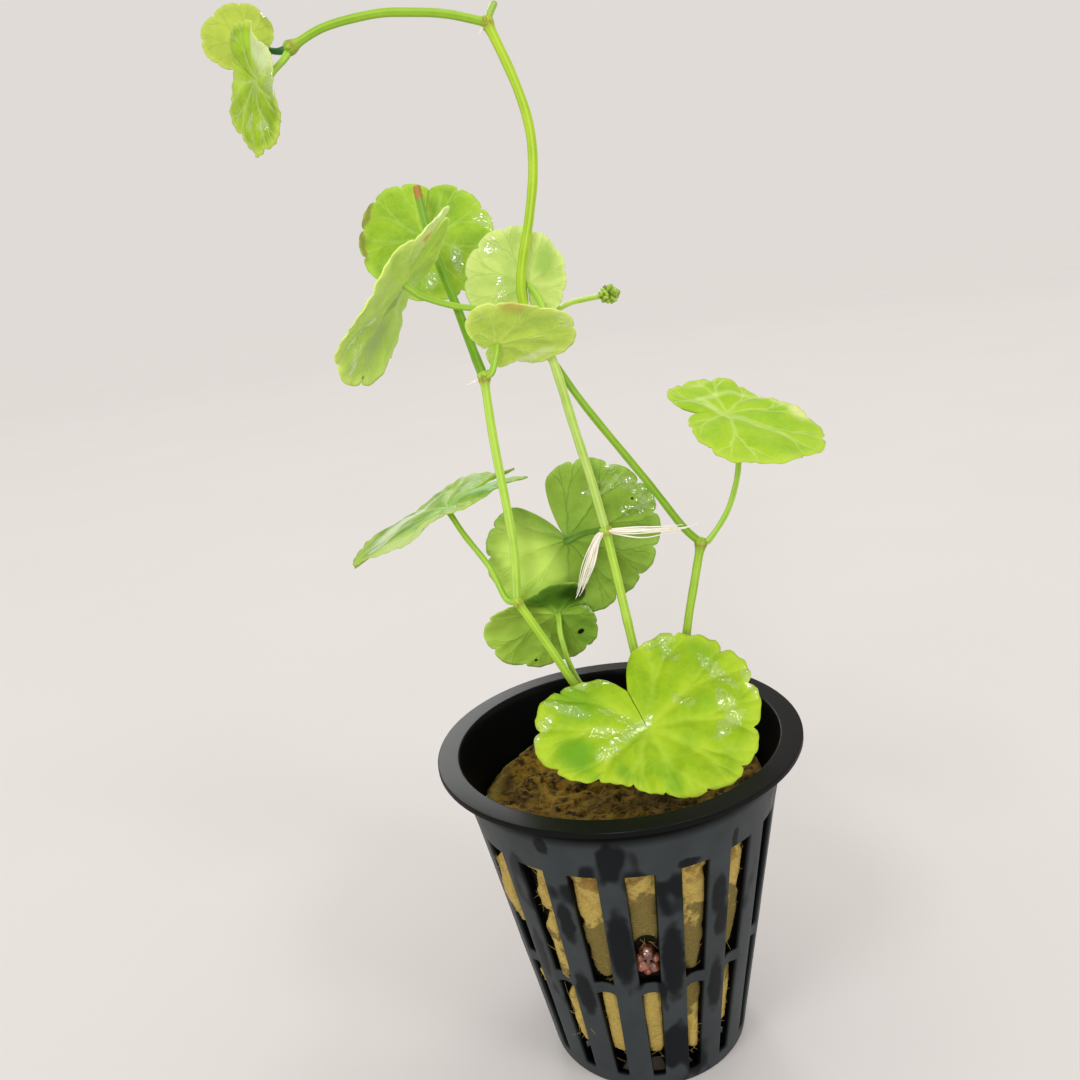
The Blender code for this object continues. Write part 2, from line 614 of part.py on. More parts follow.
def build_petiole(name, leaf):
    """The leaf's stalk, which meets the underside of the blade squarely."""
    normal = leaf_frame(leaf)[2]
    under = Vector(leaf["centre"]) - normal * PETIOLE_STANDOFF
    route = leaf["stalk"] + [tuple(under - normal), tuple(under)]
    length = route_length(route)
    start = NODE_CLEARANCE if leaf["stalk"][0] in NODE.values() else 0.0
    first, last = start + PETIOLE_TURN, length - PETIOLE_TURN
    count = max(2, round((last - first) / 4.5))
    places = [start] + [first + (last - first) * step / count for step in range(count + 1)] + [length]
    stations = [(place, PETIOLE_RADIUS) for place in places]
    return build_tube(f"petiole_{name}", route, stations, "stem_green")


def build_tuft(name, data):
    length = route_length(data["route"])
    radii = data["radii"]
    step = (length - NODE_CLEARANCE) / (len(radii) - 1)
    stations = [(NODE_CLEARANCE + step * index, radius) for index, radius in enumerate(radii)]
    return build_tube(name, data["route"], stations, "root_cream")


def build_bud():
    """A curled flower bud, lumpy all round, and the stalk that carries it."""
    bm = bmesh.new()
    bmesh.ops.create_icosphere(bm, subdivisions=2, radius=1)
    for point in bm.verts:
        lump = 1 + BUD_LUMPS * noise.noise(point.co * 2.2)
        point.co = Vector(BUD_CENTRE) + Vector(side * size * lump for side, size in zip(point.co, BUD_SIZE))
    object_from(bm, "flower_bud", PARTS, "bud_green")
    length = route_length(BUD_STALK)
    stations = [(NODE_CLEARANCE + (length - NODE_CLEARANCE) * step / 4, BUD_STALK_RADIUS) for step in range(5)]
    build_tube("bud_stalk", BUD_STALK, stations, "stem_green")


clear_scene()
PARTS = new_collection("brazilian_pennywort")
CUTTERS = new_collection("cutters")
build_pot()
build_wool()
build_beads()
for stem_name, stem_data in STEMS.items():
    build_stem(stem_name, stem_data)
for leaf_name, leaf_data in LEAVES.items():
    build_blade(leaf_name, leaf_data)
    build_petiole(leaf_name, leaf_data)
for tuft_name, tuft_data in TUFTS.items():
    build_tuft(tuft_name, tuft_data)
build_bud()
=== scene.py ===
"""Brazilian pennywort planted in rock wool in a slotted net pot: the detailed pieces, their
materials and the stage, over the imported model.

The tables are in millimetres and the meshes in metres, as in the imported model. The pot's
underside is at z 0 and the plant is seen from -Y.
"""

import random
from math import asin, atan2, cos, exp, pi, radians, sin, sqrt, tau

import bmesh
import bpy
from mathutils import Matrix, Vector, noise


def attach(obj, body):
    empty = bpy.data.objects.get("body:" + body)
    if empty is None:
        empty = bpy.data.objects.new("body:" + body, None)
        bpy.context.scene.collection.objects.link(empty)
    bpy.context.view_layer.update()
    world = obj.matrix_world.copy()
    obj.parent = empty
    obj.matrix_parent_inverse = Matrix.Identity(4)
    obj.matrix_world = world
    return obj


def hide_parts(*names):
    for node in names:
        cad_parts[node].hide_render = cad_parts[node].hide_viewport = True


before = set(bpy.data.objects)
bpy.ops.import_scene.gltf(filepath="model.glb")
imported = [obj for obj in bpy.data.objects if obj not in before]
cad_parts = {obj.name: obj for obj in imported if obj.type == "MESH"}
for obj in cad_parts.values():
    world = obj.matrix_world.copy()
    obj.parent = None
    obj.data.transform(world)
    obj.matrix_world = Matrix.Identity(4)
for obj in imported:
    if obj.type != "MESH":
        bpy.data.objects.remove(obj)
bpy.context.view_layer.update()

bl_info = {
    "name": "Brazilian pennywort in a net pot",
    "version": (1, 0, 0),
    "blender": (4, 5, 0),
    "location": "View3D > Sidebar > Pennywort",
    "description": "Builds the plant, its rock wool plug and its net pot over the packed model",
    "category": "Object",
}

MM = 0.001
# Corners closer than this are joined
WELD = 0.002

# Net pot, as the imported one
POT_HEIGHT = 52
RIM_RADIUS = 28
RIM_THICKNESS = 0.9
MOUTH_RADIUS = 24.7
BAND_TOP_RADIUS = 25.5
SHOULDER_HEIGHT = 42
SHOULDER_RADIUS = 23.4
BASE_RADIUS = 15.8
FLOOR_THICKNESS = 1.4
WALL = 1.3
RIB_COUNT = 18
RIB_WIDTH = 3.8
FIRST_SLOT_DEG = 1.95 - 90
SLOT_FOOT = 2.2
HOOP_FOOT = 19.5
HOOP_TOP = 21.5
HOOP_RECESS = 0.5
FLOOR_OPEN_FROM = 10
FLOOR_OPEN_TO = 14
SPOKE_WIDTH = 2
# Columns of faces across each slot and each rib
SLOT_COLUMNS = 3
RIB_COLUMNS = 5

# Rock wool plug
WOOL_TOP = 44.3
WOOL_FOOT = 1.6
WOOL_SPOKES = 252
WOOL_RECESS = 0.9
# The wool stands well back in one slot, and has a hollow for the feed beads in another
EMPTY_SLOT = -28
BEAD_SLOT = -88
BEAD_HEIGHT = 25.6
# The side and the height from which the top edge is torn away
TORN_SIDE_DEG = 170
TORN_FROM = 42.4
FIBRE_COUNT = 520
# Where the wool pushes out into each slot: from and to which height, how far to the right and
# how wide as shares of half the slot, and how far out
SLOT_BULGES = {
    -168: [(24, 38, 0, 0.9, 0.6), (14, 18, 0, 0.6, 0.5)],
    -148: [(28, 41, 0, 1, 1.7), (15, 18.5, -0.1, 0.6, 0.9)],
    -128: [(32.5, 41.5, 0.25, 0.85, 0.7), (20.5, 33, 0.35, 0.75, 1.5), (6.5, 18.5, 0.3, 0.8, 1.5)],
    -108: [(21.5, 42.5, 0, 1.35, 0.35), (3.2, 20, 0, 1.3, 0.6)],
    -88: [(21.5, 42.5, 0, 1.4, 0.2), (2, 20, 0, 1.35, 0.5)],
    -68: [(21.5, 42.5, 0, 1.35, 0.3), (7, 20, 0, 1.35, 0.2), (2, 12, 0.15, 0.9, 1)],
    -48: [(22, 41.5, 0, 1.1, 0.5), (6, 18.5, 0, 0.9, 0.6)],
    -28: [],
}
OTHER_BULGES = [(22.5, 42, 0, 1.2, 0.6), (3.5, 19.5, 0, 1.15, 0.5)]
# Where water has soaked the wool: from and to which height in each slot, and how strongly
SOAKED = {-108: (20, 34.5, 1), -88: (20, 39, 0.85), -68: (12, 34, 1), -48: (16, 34, 0.75)}
# Feed beads in their hollow: how far to the right, height, radius and share of the redder copper.
# The first ones stand further out.
BEADS = [
    (0.05, 26.4, 1.25, 0.15), (-0.85, 24.1, 1.05, 0.9), (0.8, 23.7, 0.95, 0.3), (-1.15, 25.6, 0.6, 0.5),
    (1.25, 25.2, 0.65, 0.7), (-0.05, 22.8, 0.7, 0.6), (0.1, 24.8, 0.7, 0),
]
PROUD_BEADS = 3

# Stems and leaf stalks: their ridges are a share of the radius, and the angles shape a round end
PETIOLE_RADIUS = 0.46
NODE_RADIUS = 1
STALK_STEP = 0.4
RIDGE_DEPTH = 0.06
END_ANGLES = (0.25, 0.6, 0.95, 1.25)

# The grid of each leaf blade
BLADE_RINGS = 26
SPOKES_PER_TOOTH = 14

# Stem nodes, where an internode, a leaf stalk or a root leaves the stem
NODE = {
    "left_low": (-13.3, 8, 72.5),
    "left_high": (-13.4, 6, 108.2),
    "centre_low": (1.9, 12, 81.1),
    "centre_high": (-5.4, 14, 113.5),
    "runner_top": (-6.9, 18, 157.5),
    "runner_tip": (-34.9, 13, 156.8),
    "right_low": (16.9, 14, 76.8),
    "right_high": (-6.3, 18.6, 113.3),
}

# Each internode: its colour, its radius at foot and head, and its route. One that ends in a node
# is swollen there.
STEMS = {
    "stem_left_lower": ("#A9D23E", 0.72, 0.66, [
        (1.4, 8.6, 38), (-0.2, 8.2, 45), (-6.5, 7.8, 58.6), (-9.7, 8, 65.3), NODE["left_low"]]),
    "stem_left_upper": ("#B2D852", 0.72, 0.66, [
        NODE["left_low"], (-12.6, 7.2, 80.5), (-12.7, 6.5, 87.4), (-13.3, 6.3, 98.6), NODE["left_high"]]),
    "stem_left_withered": ("#7AA82A", 0.72, 0.55, [
        NODE["left_high"], (-14.4, 7.6, 111.2), (-16.5, 12.6, 118), (-19.3, 16.4, 127.4),
        (-20.4, 17.6, 134.7), (-20.6, 18, 136.8)]),
    "stem_centre_lower": ("#B0D449", 0.74, 0.7, [
        (6.9, 8.4, 38), (6.2, 8.6, 45), (4.1, 10, 63.1), (3, 11, 72.3), NODE["centre_low"]]),
    "stem_centre_upper": ("#B5D268", 0.74, 0.68, [
        NODE["centre_low"], (0.5, 12.3, 89.6), (-1.1, 12.6, 97.7), (-3.3, 13.2, 109), NODE["centre_high"]]),
    "runner_rise": ("#AACB2C", 0.72, 0.68, [
        NODE["centre_high"], (-6.7, 14.2, 118.2), (-6.2, 14.4, 122.9), (-4.2, 14.8, 129.8),
        (-2.8, 15.4, 136.4), (-2.6, 16, 142.6), (-4, 16.8, 149.2), NODE["runner_top"]]),
    "runner_arch": ("#96BE2E", 0.6, 0.56, [
        NODE["runner_top"], (-12.4, 17, 159.1), (-17.6, 16, 159.8), (-22.6, 15, 160),
        (-29.6, 13.8, 159), NODE["runner_tip"]]),
    "runner_stub": ("#9CC052", 0.5, 0.52, [
        NODE["runner_top"], (-6.1, 18, 159), (-5.3, 18, 160.1)]),
    "stem_right_lower": ("#9CC232", 0.7, 0.66, [
        (8.8, 9.6, 38), (9.4, 10.2, 45), (13.3, 12, 63.3), (15.1, 13, 70.2), NODE["right_low"]]),
    "stem_right_upper": ("#86B028", 0.64, 0.6, [
        NODE["right_low"], (14.2, 14.3, 79.9), (9.8, 15, 87), (1.3, 16.6, 100), (-3, 17.8, 107.5),
        NODE["right_high"]]),
}

# Each leaf: the point over its stalk, where its upper face looks (azimuth from -Y towards +X,
# and elevation), how far its midrib is turned in that face, and its radius. The six shape
# numbers lengthen the radius along cos and sin of one, two and three turns. Notch is half the
# opening at the stalk in degrees, and closed is how far out its sides still touch. Each bend
# lists the direction it faces, where it starts, its angle and its width. Ruffle is the number of
# waves round the margin, their height and their phase; pleat is how deep the blade folds
# between its veins. Tints are the main, the deeper and the paler green; vein is the veins' half
# width at the stalk and their strength. Each spot is a middle, two half sizes, a turn, a colour,
# a strength and a softness on the blade laid flat, and each wet mark the first five of these.
LEAVES = {
    "pot_mouth": {
        "centre": (4.5, -8, 56.6), "face": (-2, 59), "midrib": -69, "radius": 15.1, "teeth": 13,
        "shape": (-0.11, 0.13, -0.11, 0.05, 0.08, 0.06), "notch": 15, "closed": 0.5, "bends": [],
        "stalk": [(5.2, 2.6, 38), (5, 2, 45), (4.9, -2, 50.5), (4.7, -6, 53.6)], "ruffle": (5, 0.55, 0.4),
        "pleat": 0.75, "veins": 9, "crumple": 2.2, "contrast": 0.75, "slot": "leaf_bright",
        "tints": ("#A5C321", "#86AD17", "#B6D039"), "vein": (1.3, 0.15), "vein_tint": "#C2DC5E",
        # The pale streak at the middle, the first spot, is partly a pale ridge at the stalk and partly a
        # painted highlight.
        "spots": [(-0.2, -1.1, 0.3, 1.2, 10, "#DCEB9A", 0.8, 0.4),
            (-9.6, -7.6, 4.4, 3.4, 30, "#6E9E1C", 0.75, 0.8), (-0.5, -11.4, 3, 2.4, 20, "#5E9A1A", 0.8, 0.6),
            (-6.4, -7.6, 1.6, 1.3, 0, "#78A822", 0.6, 0.6), (-8.7, 13.1, 2.2, 1.6, 0, "#7CAC22", 0.6, 0.6),
            (0.3, 9.6, 1.8, 1.2, 30, "#84B226", 0.5, 0.6), (10.1, -0.8, 1.6, 1.2, 0, "#78AC24", 0.6, 0.6),
            (5.6, -6.4, 1.5, 1, 40, "#78A822", 0.5, 0.6), (4.2, -10.5, 1.4, 1, 0, "#78A822", 0.5, 0.6)],
        "wet": [(-3.7, -3.4, 1.4, 0.4, 45), (-1.8, -6.4, 1.6, 0.5, 70), (-11.1, -4.9, 0.5, 2.6, -20),
            (-8.3, -10, 0.5, 2.2, -50), (-6.1, -15, 1.8, 0.5, -60), (-13.1, 8.3, 0.8, 1.4, 0),
            (-9.9, 8.8, 0.9, 0.7, 0), (-4.1, 13.4, 2.4, 0.5, 15), (5.1, 10.5, 0.7, 1.6, 20),
            (1.7, 11.9, 1.2, 0.6, 0), (0.1, 16.9, 1.6, 0.5, -10), (1.7, -6.8, 1, 0.6, 80),
            (-1.3, 6.8, 0.9, 0.6, 40), (-0.4, -2.2, 0.5, 2, 10)],
    },
    "low_dark": {
        "centre": (-7.6, 15.2, 67.5), "face": (189, 20), "midrib": -13, "radius": 9.4, "teeth": 11,
        "shape": (0.3, -0.15, 0, -0.08, 0.07, 0), "notch": 12, "closed": 0.3, "bends": [(90, 0.3, -24, 3)],
        "stalk": [(1.4, 12.8, 38), (0, 12.3, 45), (-5.6, 11.4, 57), (-7.2, 11.6, 63.8)],
        "ruffle": (4, 0.3, 1), "pleat": 0.25, "veins": 8, "slot": "leaf_dark",
        "tints": ("#A2C940", "#89B134", "#BCDF62"), "vein": (0.3, 0.6), "vein_tint": "#5E8A2A",
        "spots": [(-3.4, -5, 4.6, 4.6, 0, "#6E9C30", 0.7, 0.7),
            (-1, 4.8, 6.4, 3.6, 40, "#4A7A1E", 0.92, 0.3), (-4, 3.4, 2.8, 2.2, 40, "#24460C", 0.85, 0.5),
            (9.9, 0.6, 2.8, 3, 0, "#A8CA4E", 0.7, 0.7), (-2.6, -5.6, 0.6, 0.45, 0, "#15100A", 1, 0.2),
            (6.3, -8.3, 0.3, 0.3, 0, "#15100A", 1, 0.2)],
        "wet": [(-6, -2, 1.2, 0.5, 30), (3.5, -5.5, 1.4, 0.4, -30)],
    },
    "mid_back": {
        "centre": (-4.5, 18, 79.1), "face": (179, 6), "midrib": -122, "radius": 14.3, "teeth": 14,
        "shape": (0.08, -0.03, -0.08, 0.01, 0, 0), "notch": 20, "closed": 0, "bends": [],
        "stalk": [NODE["centre_low"], (0.6, 13.2, 81), (-2, 15.6, 80.1)], "ruffle": (5, 0.35, 2),
        "pleat": 0.3, "veins": 9, "crumple": 1.4, "slot": "leaf_mid", "stalk_tint": "#5E8A2A",
        "tints": ("#88AB33", "#73962A", "#9FC155"), "vein": (0.32, 0.7), "vein_tint": "#4E7A24",
        "spots": [(1.5, 8.8, 8.6, 5.2, 15, "#D4F070", 0.9, 0.5),
            (1.2, -12.6, 0.25, 0.25, 0, "#4A3A18", 1, 0.2)],
        "wet": [(-3.7, -9.4, 0.6, 1.4, 20), (-3.2, -13.3, 1.6, 0.5, 0), (0.7, -14.5, 1.8, 0.5, -10),
            (2.9, -11.5, 0.5, 1.2, 30), (3.8, -14.4, 1.2, 0.5, -30)],
    },
    "left_arched": {
        "centre": (-23.8, 18, 86.9), "face": (-91, 65), "midrib": -77, "radius": 16.6, "teeth": 13,
        "shape": (0.01, -0.27, 0.07, -0.13, -0.01, 0.03), "notch": 22, "closed": 0.2,
        "bends": [(0, 0.3, -1, 9), (180, 2, -18, 9)],
        "stalk": [NODE["left_low"], (-15.1, 9, 72.8), (-17.2, 11.6, 77.4), (-20.9, 15.2, 82.2)],
        "ruffle": (6, 0.45, 0), "pleat": 0.3, "veins": 9, "slot": "leaf_mid",
        "tints": ("#8DB529", "#6A951D", "#B0C956"), "vein": (0.4, 0.25), "vein_tint": "#C8DC8C",
        # The whitish streaks along the upper edge, #D6E2C0 and #D2DEB4, are a painted sheen.
        "spots": [(0, 0, 3.4, 2.4, 0, "#86C62C", 0.7, 0.7), (7.8, -10, 7.6, 2.4, 24, "#D6E2C0", 0.75, 0.6),
            (7, -2, 6, 1.8, 20, "#648F26", 0.5, 0.6), (8.5, 7, 7, 3, -10, "#B9CE7C", 0.85, 0.5),
            (-9, 4, 7, 3.2, 150, "#86BE34", 0.8, 0.5), (-7.5, 9.5, 5, 2.2, 125, "#5C9A2A", 0.7, 0.6),
            (11.6, -4, 5.5, 1.2, 19, "#D2DEB4", 0.6, 0.5)],
        "wet": [(11.6, -4, 2, 0.3, 19)],
    },
    "centre_small": {
        "centre": (-10.8, 6.5, 113.2), "face": (173, 51), "midrib": 158, "radius": 7.2, "teeth": 9,
        "shape": (0.58, 0.03, 0.04, 0, 0.02, 0.08), "notch": 10, "closed": 0.3,
        "bends": [(177, 0.3, -52, 1.5)],
        "stalk": [NODE["left_high"], (-12.1, 5.2, 108.8), (-11.2, 5.3, 111)], "ruffle": (4, 0.35, 0.5),
        "pleat": 0.22, "veins": 8, "slot": "leaf_pale", "tints": ("#BEDC47", "#A2C43A", "#DFF188"),
        "vein": (0.26, 0.55), "vein_tint": "#D6E67C",
        "spots": [(6.8, -5.6, 1.8, 1.4, 0, "#D0A050", 0.5, 0.6), (1.9, 5.9, 4, 0.8, 0, "#DCE6AE", 0.7, 0.5)],
        "wet": [(1, -5.5, 0.8, 0.4, 0), (-2.1, 1.8, 0.6, 0.5, 0), (10.5, 0.9, 0.5, 1, 0)],
    },
    "left_hanging": {
        "centre": (-23.2, 4, 123.1), "face": (262, 41), "midrib": -63, "radius": 12.9, "teeth": 12,
        "shape": (0.13, -0.09, 0.17, -0.05, -0.09, -0.03), "notch": 6, "closed": 0.3,
        "bends": [(-60, 3, -19, 8)],
        "stalk": [NODE["centre_high"], (-6.9, 12.8, 113.9), (-10.6, 11.2, 117), (-16.4, 8.2, 118.7),
            (-20.4, 5.2, 120.6)], "ruffle": (4, 0.5, 1.5), "pleat": 0.26, "veins": 8, "slot": "leaf_pale",
        "tints": ("#BBE14E", "#A2C848", "#E3F988"), "vein": (0.4, 0.5), "vein_tint": "#CADC92",
        "spots": [(-9.5, 5.2, 5.6, 3.8, 0, "#E6F8A8", 0.9, 0.6), (7.9, -5.8, 3.6, 3, 0, "#9EB472", 0.6, 0.6),
            (1.6, -3.8, 3, 0.8, 10, "#7E9E3C", 0.6, 0.5), (-6.3, 3.8, 1.2, 0.8, 50, "#E2B464", 0.9, 0.5),
            (13.3, -7.4, 0.25, 0.25, 0, "#7A5A20", 1, 0.2)],
        "wet": [(9.1, -0.3, 2, 0.35, 10), (-3.7, 2.8, 1, 0.4, 30), (12.5, -2.9, 1.4, 0.4, -20)],
    },
    "top_back": {
        "centre": (-21.4, 23.6, 129.2), "face": (-3, 21), "midrib": -101, "radius": 10.6, "teeth": 13,
        "shape": (0.02, 0.04, -0.06, 0.03, 0, 0), "notch": 3, "closed": 0.9, "bends": [],
        "stalk": [NODE["right_high"], (-8.4, 20.4, 114.2), (-14, 24.8, 121.4), (-19, 26.6, 127)],
        "ruffle": (5, 0.3, 0), "pleat": 0.3, "veins": 9, "slot": "leaf_bright",
        "tints": ("#9BBF2F", "#7FA828", "#B6D553"), "vein": (0.5, 0.25), "vein_tint": "#BEDC70",
        "spots": [(-3, -9.7, 2.8, 0.5, -19, "#7A5A3A", 0.6, 0.5),
            (1.7, -9.7, 2.8, 0.5, 19, "#7A5A3A", 0.6, 0.5)],
        "wet": [(-3.3, 9.5, 1.2, 0.5, 60), (3, 5.8, 1.4, 0.5, 20), (6.9, 2.1, 0.8, 0.5, 0)],
    },
    "top_pale": {
        "centre": (-5.9, 17.3, 120.1), "face": (187, -5), "midrib": 90, "radius": 7.9, "teeth": 11,
        "shape": (0.14, -0.21, 0, 0, 0, 0), "notch": 12, "closed": 0.3, "bends": [],
        "stalk": [NODE["centre_high"], (-3.8, 13.6, 114.2), (-3.9, 14.2, 117), (-5, 15.4, 119.3)],
        "ruffle": (4, 0.3, 0), "pleat": 0.22, "veins": 8, "slot": "leaf_pale",
        "tints": ("#C4D96D", "#AAC75A", "#D8E595"), "vein": (0.3, 0.3), "vein_tint": "#8CB044",
        "spots": [(3.3, 3.2, 2.2, 1.6, 20, "#90B84A", 0.7, 0.6)],
        "wet": [(6.1, -4.6, 1, 0.5, 30), (-0.8, -4, 1.2, 0.4, 0)],
    },
    "right_parasol": {
        "centre": (22.5, 13, 97.7), "face": (23, 70), "midrib": -17, "radius": 11.7, "teeth": 13,
        "shape": (0.14, -0.2, -0.19, -0.19, 0, 0), "notch": 14, "closed": 0.55, "bends": [],
        "stalk": [NODE["right_low"], (18.5, 14.1, 77.4), (21.9, 14.4, 82.1), (23.8, 13.8, 89),
            (23, 13.4, 94.5)], "ruffle": (5, 0.4, 1), "pleat": 0.34, "veins": 7, "slot": "leaf_bright",
        "tints": ("#9FC21F", "#8BB518", "#B7CF47"), "vein": (0.7, 0.3), "vein_tint": "#CFE28A",
        "spots": [(-2.35, 4.75, 2.9, 0.6, 18, "#DCEAA2", 0.32, 0.8),
            (3.7, 5.15, 3.8, 0.6, -7, "#DCEAA2", 0.32, 0.8), (9.5, 0.75, 4.8, 0.6, -60, "#DCEAA2", 0.3, 0.8),
            (-2.25, 2.4, 2.8, 0.6, -65, "#DCEAA2", 0.32, 0.8),
            (1, -2.45, 3.7, 0.6, -49, "#DCEAA2", 0.32, 0.8),
            (4.9, -6.75, 2.7, 0.6, -46, "#DCEAA2", 0.3, 0.8), (-2.2, 9.5, 2, 0.7, 20, "#DCEAA2", 0.3, 0.8),
            (11.2, -1.1, 1.4, 2.6, 0, "#E2DEA0", 0.5, 0.6)],
    },
    "tip_round": {
        "centre": (-43, 20.5, 159.7), "face": (183, -20), "midrib": 30, "radius": 5.25, "teeth": 9,
        "shape": (0.3, 0.12, 0.06, 0, 0, 0), "notch": 6, "closed": 0.3, "bends": [],
        "stalk": [NODE["runner_tip"], (-36.8, 13.2, 156.6), (-39.4, 15, 157.7), (-41.9, 17.5, 159.1)],
        "ruffle": (4, 0.25, 0), "pleat": 0.2, "veins": 8, "slot": "leaf_pale", "stalk_tint": "#2C6232",
        "tints": ("#ADC13E", "#92AA30", "#BDCD5E"), "vein": (0.24, 0.55), "vein_tint": "#8CA838",
        "spots": [(-1.6, 4.4, 2, 0.7, 35, "#8AA03C", 0.6, 0.5)],
        "wet": [(-0.5, 5, 0.3, 0.15, 20)],
    },
    "tip_hanging": {
        "centre": (-40.1, 9, 152.6), "face": (-56, 4.5), "midrib": -35, "radius": 9.1, "teeth": 11,
        "shape": (-0.12, -0.22, 0.09, -0.01, -0.02, 0), "notch": 9, "closed": 0.2,
        "bends": [(0, 1, -9.5, 6)],
        "stalk": [NODE["runner_tip"], (-35.8, 12.4, 155.4), (-37.2, 11.2, 153.9)], "ruffle": (5, 0.5, 0),
        "pleat": 0.55, "veins": 9, "slot": "leaf_mid", "tints": ("#9EC022", "#81A61B", "#C8D862"),
        "vein": (0.5, 0.22), "vein_tint": "#DCE8B4",
        "spots": [(2, 4.6, 3.6, 2, 0, "#D6E2B0", 0.7, 0.6), (-4.2, 3.7, 2.4, 1.2, 30, "#A2CA2C", 0.8, 0.5),
            (-6, -2.4, 2.6, 2.2, 0, "#B2D438", 0.8, 0.6), (7.5, 2.6, 1.8, 1.6, 0, "#86AA38", 0.6, 0.5)],
        "wet": [(7.5, 2.6, 1, 0.8, 0), (5.1, -4, 0.7, 0.4, 30), (0.9, -5.3, 1, 0.35, 60)],
    },
}
# How each vein forks on its way out: where the fork starts, where it is full, and its size
VEIN_FORKS = ((0.32, 1.05, 0.25), (0.6, 1.1, 0.125))
# How much further the water on a leaf reaches than its bright middle
FILM_SPREAD = 1.9

# Water on the outside of the pot: azimuth, height, half width and half height of each patch
WET_PATCHES = [
    (-98, 29, 1.7, 9.2), (-78, 25.5, 1.6, 11), (-118, 33, 1.2, 4), (-118, 19, 1.3, 5),
    (-58, 35, 1.2, 4), (-58, 18, 1.2, 6), (-138, 24, 1, 7), (-71, 42.8, 1.6, 0.8),
    (-52, 43.5, 0.6, 2), (-120, 47, 1, 1.6),
]

# Roots: the number of strands and their thickness, how far they spread at each point, and the route
ROOTS = {
    "roots_centre": (7, 0.17, (0.3, 1.1, 1, 0.6, 0.25), [
        NODE["centre_low"], (6.2, 10.6, 80.6), (10.2, 10.2, 80.6), (15, 10.4, 80.6), (17.7, 10.6, 81.9)]),
    "root_wisp_centre": (26, 0.085, (0.25, 0.5, 0.8, 0.55, 0.2), [
        NODE["centre_low"], (0.3, 10.8, 80.3), (-1.4, 10, 76.6), (-3.2, 9.4, 72.7), (-4.1, 9.2, 71.1)]),
    "root_hairs_left": (3, 0.09, (0.1, 0.35, 0.6), [
        NODE["left_high"], (-15.4, 5.2, 107.7), (-16.9, 4.9, 107.9)]),
    "root_hairs_runner": (3, 0.08, (0.1, 0.25, 0.4), [
        NODE["runner_top"], (-8, 17.3, 156.4), (-8.8, 17.1, 155.6)]),
}
BUD_STALK = [
    NODE["right_high"], (-4.2, 19.2, 114.7), (0.1, 18.9, 116.5), (2.7, 17.9, 116.9), (4.7, 16.9, 117.1)]
BUD_STALK_RADIUS = 0.42
BUD_CENTRE = (6.5, 15.6, 117.3)
BUD_COUNT = 30
BUD_SIZE = (1.5, 1.2, 1.3)

# Where the eye stands and how it looks: the photo's view
EYE = (0, -142.45, 123.2)
EYE_RIGHT = (0.99193, 0.02143, -0.12491)
EYE_UP = (0.11464, 0.26833, 0.95648)
EYE_AHEAD = (-0.05401, 0.96309, -0.26371)
EYE_LENS = 33.528
EYE_SENSOR = 36

# Each lamp: where it hangs (azimuth from -Y towards +X, and elevation) and its share of the strength
LAMPS = (
    ("left_lamp", -38, 50, 0.8), ("right_lamp", 50, 42, 0.7), ("front_lamp", -6, 14, 1.9),
    ("back_left_lamp", 192, 25, 1), ("back_lamp", 150, 62, 0.6),
)
LAMP_ANGLE_DEG = 16
FLOOR_HALF = 4000


def linear(hex_colour):
    """The scene's linear colour, with alpha, for an sRGB hex value."""
    channels = [int(hex_colour[i:i + 2], 16) / 255 for i in (1, 3, 5)]
    return (*(c / 12.92 if c <= 0.04045 else ((c + 0.055) / 1.055) ** 2.4 for c in channels), 1.0)


def colour_setting(name, description, hex_colour):
    return bpy.props.FloatVectorProperty(
        name=name, description=description, default=linear(hex_colour), size=4, min=0.0, max=1.0,
        subtype="COLOR")


class PennywortPot(bpy.types.PropertyGroup):
    """Sizes and colours of the net pot and of what fills it."""

    rib_width: bpy.props.FloatProperty(
        name="Rib width", description="Width of each upright rib", default=RIB_WIDTH * MM, unit="LENGTH")
    edge_round: bpy.props.FloatProperty(
        name="Edge rounding", description="Radius of the moulded edges round the slots", default=0.0002,
        unit="LENGTH")
    plastic: colour_setting("Plastic", "Colour of the moulded plastic", "#050606")
    # A painted sheen: the outside faces are painted this grey, lighter than the black of the shaded inside.
    painted_sheen: colour_setting("Dried film", "Colour of the thin grey film on the outside", "#363B3D")
    wool_dry: colour_setting("Dry wool", "Colour of the wool where it is dry", "#C4AA5A")
    wool_wet: colour_setting("Wet wool", "Colour of the wool where water has soaked it", "#80703A")
    wool_top: colour_setting("Top of the wool", "Colour of the worn top face", "#AC862C")
    bead: colour_setting("Feed beads", "Colour of the coated feed beads", "#6C4232")


class PennywortPlant(bpy.types.PropertyGroup):
    """Sizes and colours of the plant."""

    blade_thickness: bpy.props.FloatProperty(
        name="Blade thickness", description="Thickness of a leaf blade at its middle", default=0.00034,
        unit="LENGTH")
    crenation: bpy.props.FloatProperty(
        name="Crenation", description="Depth of the round teeth as a share of the blade's radius",
        default=0.062, min=0.0, max=0.3, subtype="FACTOR")
    wetness: bpy.props.FloatProperty(
        name="Wetness", description="How much of a water film lies on the leaves", default=1.0, min=0.0,
        max=1.0, subtype="FACTOR")
    withered: colour_setting("Withered tip", "The dried end of the left stem", "#A97B3A")
    node: colour_setting("Node scales", "The dry scales at the swollen nodes", "#A8943E")
    root: colour_setting("Roots", "Fine roots at the nodes", "#FAF5EA")


class PennywortStage(bpy.types.PropertyGroup):
    """The floor and the light."""

    floor: colour_setting("Floor", "Colour of the floor", "#D6D3D1")
    air: colour_setting("Studio air", "Colour of the even light all round", "#E0DBD7")
    lamp_strength: bpy.props.FloatProperty(
        name="Lamps", description="Strength of each soft lamp", default=0.6, min=0.0)


MAIN_SETTING = {
    "Attribute": "attribute_name", "MapRange": "interpolation_type", "Math": "operation", "Mix": "data_type",
    "VectorMath": "operation",
}


